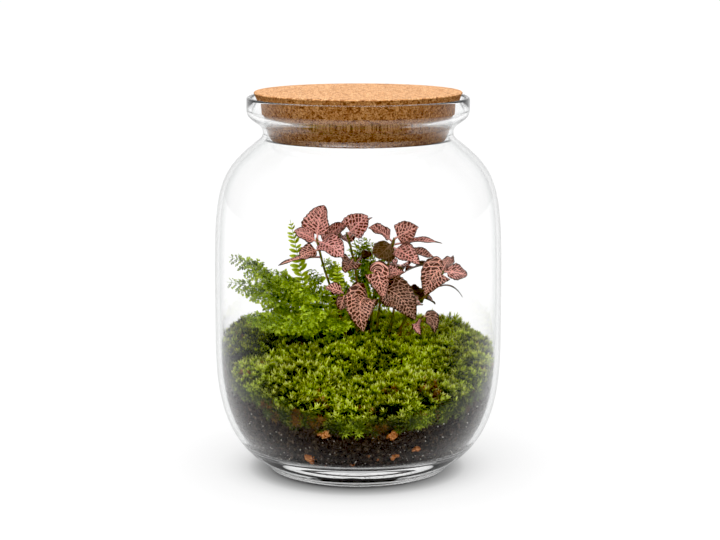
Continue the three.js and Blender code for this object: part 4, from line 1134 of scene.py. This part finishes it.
# Each stem: its route from the soil up, and its leaves as (share of the stem's length, tip, width, the way
# the upper side looks, the point that the leaf bends over or None, pinkness from 0 to 1).
STEMS = {
    "fittonia_left": ([(-8, 14, 92), (-17, 12, 124), (-27, 8, 155), (-32, 5, 177)], [
        (0.98, (-27, 2, 203), 22, (-0.4, -1, 0.1), None, 0.75),
        (0.96, (-49, 0, 184), 11, (0, -0.8, 0.6), None, 0.8),
        (0.97, (-11, -13, 167), 20, (0.1, -0.7, 0.7), None, 0.9),
        (0.93, (-8, 16, 188), 13, (0, -0.7, 0.7), None, 0.7),
        (0.9, (-46, 1, 162), 13, (-0.2, -0.8, 0.6), None, 0.5),
        (0.84, (-62, 4, 156), 5, (0, -0.5, 1), None, 0.5),
    ]),
    "fittonia_middle": ([(2, 18, 92), (0, 18, 130), (-4, 15, 160), (-9, 13, 180)], [
        (0.98, (7, 7, 194), 20, (0, -1, 0.3), None, 0.8),
        (0.95, (11, 19, 191), 7, (0, -0.5, 1), None, 0.7),
        (0.78, (-10, -7, 153), 16, (0.1, -1, 0.4), None, 0.15),
        (0.9, (-16, 33, 174), 16, (0, 0.6, 1), None, 0.6),
        (0.72, (10, 34, 160), 14, (0, 0.8, 0.8), None, 0.4),
    ]),
    "fittonia_top": ([(14, 20, 92), (18, 18, 130), (24, 14, 158), (28, 10, 176)], [
        (0.99, (46, 2, 186), 18, (-0.2, -1, 0.4), None, 0.6),
        (0.96, (8, 10, 185), 12, (0, -0.5, 1), None, 0.7),
        (0.97, (13, -2, 161), 19, (0, 0.9, -0.3), None, 0.4),
        (0.92, (47, -8, 159), 16, (-0.1, -0.8, 0.6), None, 0.7),
        (0.94, (65, 8, 173), 8, (0, -0.5, 1), None, 0.8),
        (0.84, (62, 18, 160), 13, (0, -0.4, 1), None, 0.4),
        (0.8, (30, 40, 162), 16, (0, 0.7, 0.8), None, 0.5),
    ]),
    "fittonia_right": ([(28, 10, 92), (40, 7, 118), (56, 3, 136), (66, 1, 152)], [
        (0.97, (51, -9, 134), 23, (0, -1, 0.3), (60, -6, 160), 0.35),
        (0.99, (85, 0, 149), 13, (0, -0.9, 0.5), None, 0.7),
        (0.92, (72, 22, 160), 15, (0.3, 0.6, 1), None, 0.5),
        (0.78, (81, 3, 131), 2, (0, -0.4, 1), (72, 3, 146), 0.0),
        (0.62, (42, -6, 128), 9, (0, -1, 0.4), None, 0.4),
    ]),
    "fittonia_front": ([(8, 4, 92), (10, -2, 115), (12, -7, 135), (14, -9, 150)], [
        (0.7, (4, -34, 111), 25, (-0.1, -1, 0.4), (-4, -26, 144), 0.2),
        (0.86, (43, -25, 119), 25, (-0.1, -1, 0.4), (31, -14, 143), 0.0),
        (0.98, (20, -17, 132), 19, (-0.1, -1, 0.4), (14, -14, 162), 0.45),
        (0.97, (36, -4, 153), 12, (0, -0.8, 0.6), None, 0.6),
    ]),
    "fittonia_small": ([(0, 2, 92), (-2, -4, 112), (-8, -12, 130), (-11, -15, 138)], [
        (0.98, (-25, -20, 143), 10, (0, -0.8, 0.6), None, 0.6),
        (0.97, (-14, -21, 125), 10, (0, -1, 0.3), None, 0.3),
    ]),
    "fittonia_low": ([(33, 4, 92), (40, -2, 104), (46, -6, 114), (50, -7, 118)], [
        (0.97, (59, -12, 106), 12, (0.2, -1, 0.4), (58, -6, 121), 0.05),
        (0.92, (47, -19, 106), 9, (-0.6, -0.6, 0.4), None, 1.0),
    ]),
    "fittonia_back": ([(24, 30, 92), (28, 34, 114), (32, 38, 134), (33, 43, 148)], [
        (0.98, (36, 70, 144), 20, (0, 0.6, 1), None, 0.5),
        (0.96, (14, 54, 158), 17, (-0.2, 0.5, 1), None, 0.7),
        (0.9, (60, 48, 150), 18, (0.3, 0.4, 1), None, 0.5),
        (0.72, (52, 62, 118), 20, (0.3, 0.8, 0.7), None, 0.1),
        (0.66, (62, 32, 122), 18, (0.6, 0.2, 1), None, 0.1),
    ]),
}


def nerve_leaf(start, tip, wide, face, over, pink, seed):
    """A leaf over (s along, c across): a midrib on a quadratic curve over a crest, a pointed oval half
    width, sides lifted from the fold, a waved margin and a quilted blade that swells between the side
    veins. Gives the points of a closed shell with the numbers that its material reads: how far it is from
    the midrib and the edge, and the place in the vein net, one unit from side vein to side vein."""
    draw = np.random.default_rng(seed)
    end = np.array(tip, float)
    upper = np.array(face, float)
    crest = np.array(over, float) if over else (start + end) / 2 + 4 * unit(upper)
    corners = [start, crest, end]
    rows, columns = 40, 21
    blade_run = LEAF_STALK + (1 - LEAF_STALK) * np.linspace(0, 1, rows - 2) ** 1.05
    t = np.concatenate([[0, 0.5 * LEAF_STALK], blade_run])
    c = np.linspace(-1, 1, columns)[None, :]
    out = np.abs(c)
    at = bezier(corners, t)
    along = slopes(corners, t)
    side = unit(np.cross(along, upper))
    normal = unit(np.cross(side, along))

    s = np.clip((t - LEAF_STALK) / (1 - LEAF_STALK), 0, 1)
    stalk = 0.55 + 0.25 * np.clip(1 - t / LEAF_STALK, 0, 1)
    blade = (wide / 2) * 2.31 * s ** 0.45 * (1 - s) ** 0.85
    blade = blade * (1 + 0.03 * np.sin(2 * np.pi * s * np.linalg.norm(end - start) / 3.2))
    least = 0.55 * np.clip(1 - s, 0, 1) ** 0.5 + 0.05
    half = np.where(s > 0, np.maximum(blade, least), stalk)[:, None]
    across = half * c
    away = np.abs(across)
    run = lengths(at)[:, None]
    s = s[:, None]

    vein_gap = 3.0 if wide > 15 else 2.3
    order = (run - 1.05 * away + 0.018 * away ** 2) / vein_gap + np.where(c > 0, 0.5, 0.0)
    opened = np.clip(s * 6, 0, 1)
    blown = np.clip(s * 8, 0, 1) * np.clip(away / 2.0, 0, 1)
    quilt = 0.28 * (np.abs(np.sin(np.pi * order)) - 0.5) * blown
    wave = wide * draw.uniform(0.06, 0.11) * np.sin(2 * np.pi * (1.9 * s + draw.uniform() + 0.4 * (c > 0)))
    lift = (LEAF_FOLD + draw.uniform(0, 0.35)) * half * out * opened
    lift = lift + draw.uniform(-0.4, 0.4) * s ** 1.5 * half * c
    lift = lift + quilt + wave * out ** 2 * blown - 0.16 * wide * s ** 3 * draw.uniform(0.4, 1.4)
    sheet = at[:, None] + side[:, None] * across[..., None] + normal[:, None] * lift[..., None]
    sheet = kept_inside(sheet, LEAF_CLEAR)

    outward = side[:, None] + normal[:, None] * (LEAF_FOLD * np.sign(c) * opened)[..., None]
    fine = unit(np.cross(outward, unit(np.gradient(sheet, axis=0) + 1e-9)))
    thick = np.where(s > 0, 0.22, 0.45)[..., None] * np.ones_like(sheet[..., :1])
    points, faces = shells(sheet[None], fine[None], thick[None])

    rib = away / (1.2 + 2.2 * (1 - s)) * 0.5
    edge = np.clip((out - 1) * half + 0.85, 0, 0.5) * 2 * np.clip(s * 10, 0, 1)
    net = np.stack([order, (away + 0.5 * run) / 3.7 + seed * 1.37], axis=-1)
    n = across.size
    numbers = {"rib": np.tile(rib.reshape(-1), 2), "edge": np.tile(edge.reshape(-1), 2),
               "under": np.repeat([0.0, 1.0], n), "pink": np.full(2 * n, pink)}
    return points[0], faces, numbers, np.tile(net.reshape(-1, 2), (2, 1))


def leafy_stem(index, name):
    """A stem tube out of the soil along its route, thinner towards the top and thicker where a leaf grows,
    and its leaves, whose places in the vein net become a UV map."""
    route, leaves = STEMS[name]
    x, y, _ = route[0]
    points = [(x, y, float(soil_top(x, y)) - ROOT_DEPTH), *route]
    t = np.linspace(0, 1, 36)
    joints = np.array([leaf[0] for leaf in leaves])
    knots = 1 + 0.22 * np.exp(-((t[:, None] - joints) / 0.02) ** 2).sum(axis=1)
    stem = Shape().add(*tube(through(points, t), radius=(1.15 - 0.35 * t) * knots, sides=10))
    shape = Shape("rib", "edge", "under", "pink")
    nets = []
    for k, (share, *leaf) in enumerate(leaves):
        start = through(points, [share])[0]
        made, faces, numbers, net = nerve_leaf(start, *leaf, 400 + 20 * index + k)
        nets.append(net)
        shape.add(made, faces, **numbers)
    piece = shape.piece(name + "_leaves", LEAF)
    corner = np.empty(len(piece.data.loops), np.int32)
    piece.data.loops.foreach_get("vertex_index", corner)
    layer = piece.data.uv_layers.new(name="net")
    layer.data.foreach_set("uv", np.vstack(nets)[corner].astype(np.float32).reshape(-1))
    settle(piece, "fittonia_leaf", name)
    settle(stem.piece(name + "_stem", STEM), "fittonia_leaf", name)


# Stage, light and camera, in metres

STAGE_REACH = 40.0
SHADOW_MIDDLE = (-0.0015, -0.008, 0)
SHADOW_REACH = 0.16
LIGHTS_AIM = (0, 0, 0.12)
LENS, SENSOR = 94.6, 36.0
CAMERA = (0.0014, -1.433, 0.404)
LOOKS_DOWN = 9.95


def glowing_floor_painted_shadow():
    # White floor that glows like acrylic lit from below: it glows evenly, and less where the jar's foot
    # stands and close round it, by rings about the middle of the shadow. This dip in the glow is a painted
    # contact shadow.
    made, tree, shader = material("glowing_floor_painted_shadow", {"Base Color": "#656565", "Roughness": 1.0,
                                                        "Specular IOR Level": 0.0, "Emission Strength": 0.78})
    place = add(tree, "TexCoord")["Object"]
    away = add(tree, "VectorMath", (place, SHADOW_MIDDLE), operation="DISTANCE")["Value"]
    away = add(tree, "Math", (away, 1 / SHADOW_REACH), operation="MULTIPLY", use_clamp=True)[0]
    # Painted contact shadow: the glow drops in rings towards the jar's foot.
    painted_contact_shadow = add(tree, "ValToRGB", (away,), stops=(
        (0.38, "#303030"), (0.425, "#919191"), (0.4625, "#ABABAB"), (0.5, "#CACACA"), (0.53, "#E3E3E3"),
        (0.57, "#EEEEEE"), (0.61, "#F4F4F4"), (0.67, "#F9F9F9"), (1.0, "#FFFFFF")))[0]
    feed(tree, shader, {"Emission Color": painted_contact_shadow})
    return made


def stage_floor():
    """A square of glowing floor under the jar, with a painted contact shadow round its foot, too wide for its
    edge to show.
    """
    mesh = bpy.data.meshes.new("floor")
    corners = [(x * STAGE_REACH, y * STAGE_REACH, 0) for x, y in ((-1, -1), (1, -1), (1, 1), (-1, 1))]
    mesh.from_pydata(corners, [], [(0, 1, 2, 3)])
    mesh.materials.append(glowing_floor_painted_shadow())
    floor = bpy.data.objects.new("floor", mesh)
    bpy.context.scene.collection.objects.link(floor)


def surround():
    """A white surround, 0.35 strong at the sides, with three brighter parts that rise from an edge to their
    full strength: behind the jar, in front of it, and a round one overhead."""
    world = bpy.data.worlds.new("soft_surround")
    world.use_nodes = True
    tree = world.node_tree
    way = add(tree, "TexCoord")["Generated"]
    back = add(tree, "SeparateXYZ", (way,))["Y"]
    overhead = add(tree, "VectorMath", (way, (-0.06, -0.1, 0.993)), operation="DOT_PRODUCT")["Value"]
    strength = 0.35
    parts = ((back, 0.45, 2.2, 0.67), (back, -0.2, -1.6, 0.9), (overhead, 0.72, 6.0, 4.0))
    for source, edge, rise, full in parts:
        past = add(tree, "Math", (source, edge), operation="SUBTRACT")[0]
        lit = add(tree, "Math", (past, rise), operation="MULTIPLY", use_clamp=True)[0]
        strength = add(tree, "Math", (lit, full, strength), operation="MULTIPLY_ADD")[0]
    feed(tree, tree.nodes["Background"], {"Color": "#FFFFFF", "Strength": strength})
    bpy.context.scene.world = world


def soft_box(name, place, size, power):
    """A square light at a place, turned towards the middle of the jar."""
    data = bpy.data.lights.new(name, "AREA")
    data.size = size
    data.energy = power
    light = bpy.data.objects.new(name, data)
    light.location = place
    x, y, z = np.array(LIGHTS_AIM) - np.array(place)
    light.rotation_euler = (math.atan2(math.hypot(x, y), -z), 0, math.atan2(y, x) - math.pi / 2)
    bpy.context.scene.collection.objects.link(light)


def camera():
    """The fitted camera, and how its picture is developed: plain tones with slightly deeper blacks, and
    enough bounces for light to pass both walls of the glass."""
    scene = bpy.context.scene
    lens = bpy.data.cameras.new("camera")
    lens.sensor_width = SENSOR
    lens.lens = LENS
    made = bpy.data.objects.new("camera", lens)
    made.location = CAMERA
    made.rotation_euler = (math.radians(90 - LOOKS_DOWN), 0, 0)
    scene.collection.objects.link(made)
    scene.camera = made
    scene.view_settings.view_transform = "Standard"
    scene.view_settings.use_curve_mapping = True
    scene.view_settings.curve_mapping.black_level = (0.02, 0.02, 0.02)
    scene.view_settings.curve_mapping.update()
    scene.cycles.use_denoising = True
    scene.cycles.max_bounces = 24
    scene.cycles.transmission_bounces = 20


glass_jar()
cork_stopper()
soil_bed()
bark_chips()
for index, name in enumerate(CUSHIONS):
    moss_cushion(index, name)
for index, name in enumerate(FRONDS):
    frond(index, name)
for index, name in enumerate(STEMS):
    leafy_stem(index, name)
stage_floor()
surround()
soft_box("soft_box_left", (-0.6, -1.1, 1.3), size=0.9, power=3.5)
soft_box("soft_box_top", (0.1, -0.1, 1.6), size=0.6, power=3.0)
camera()
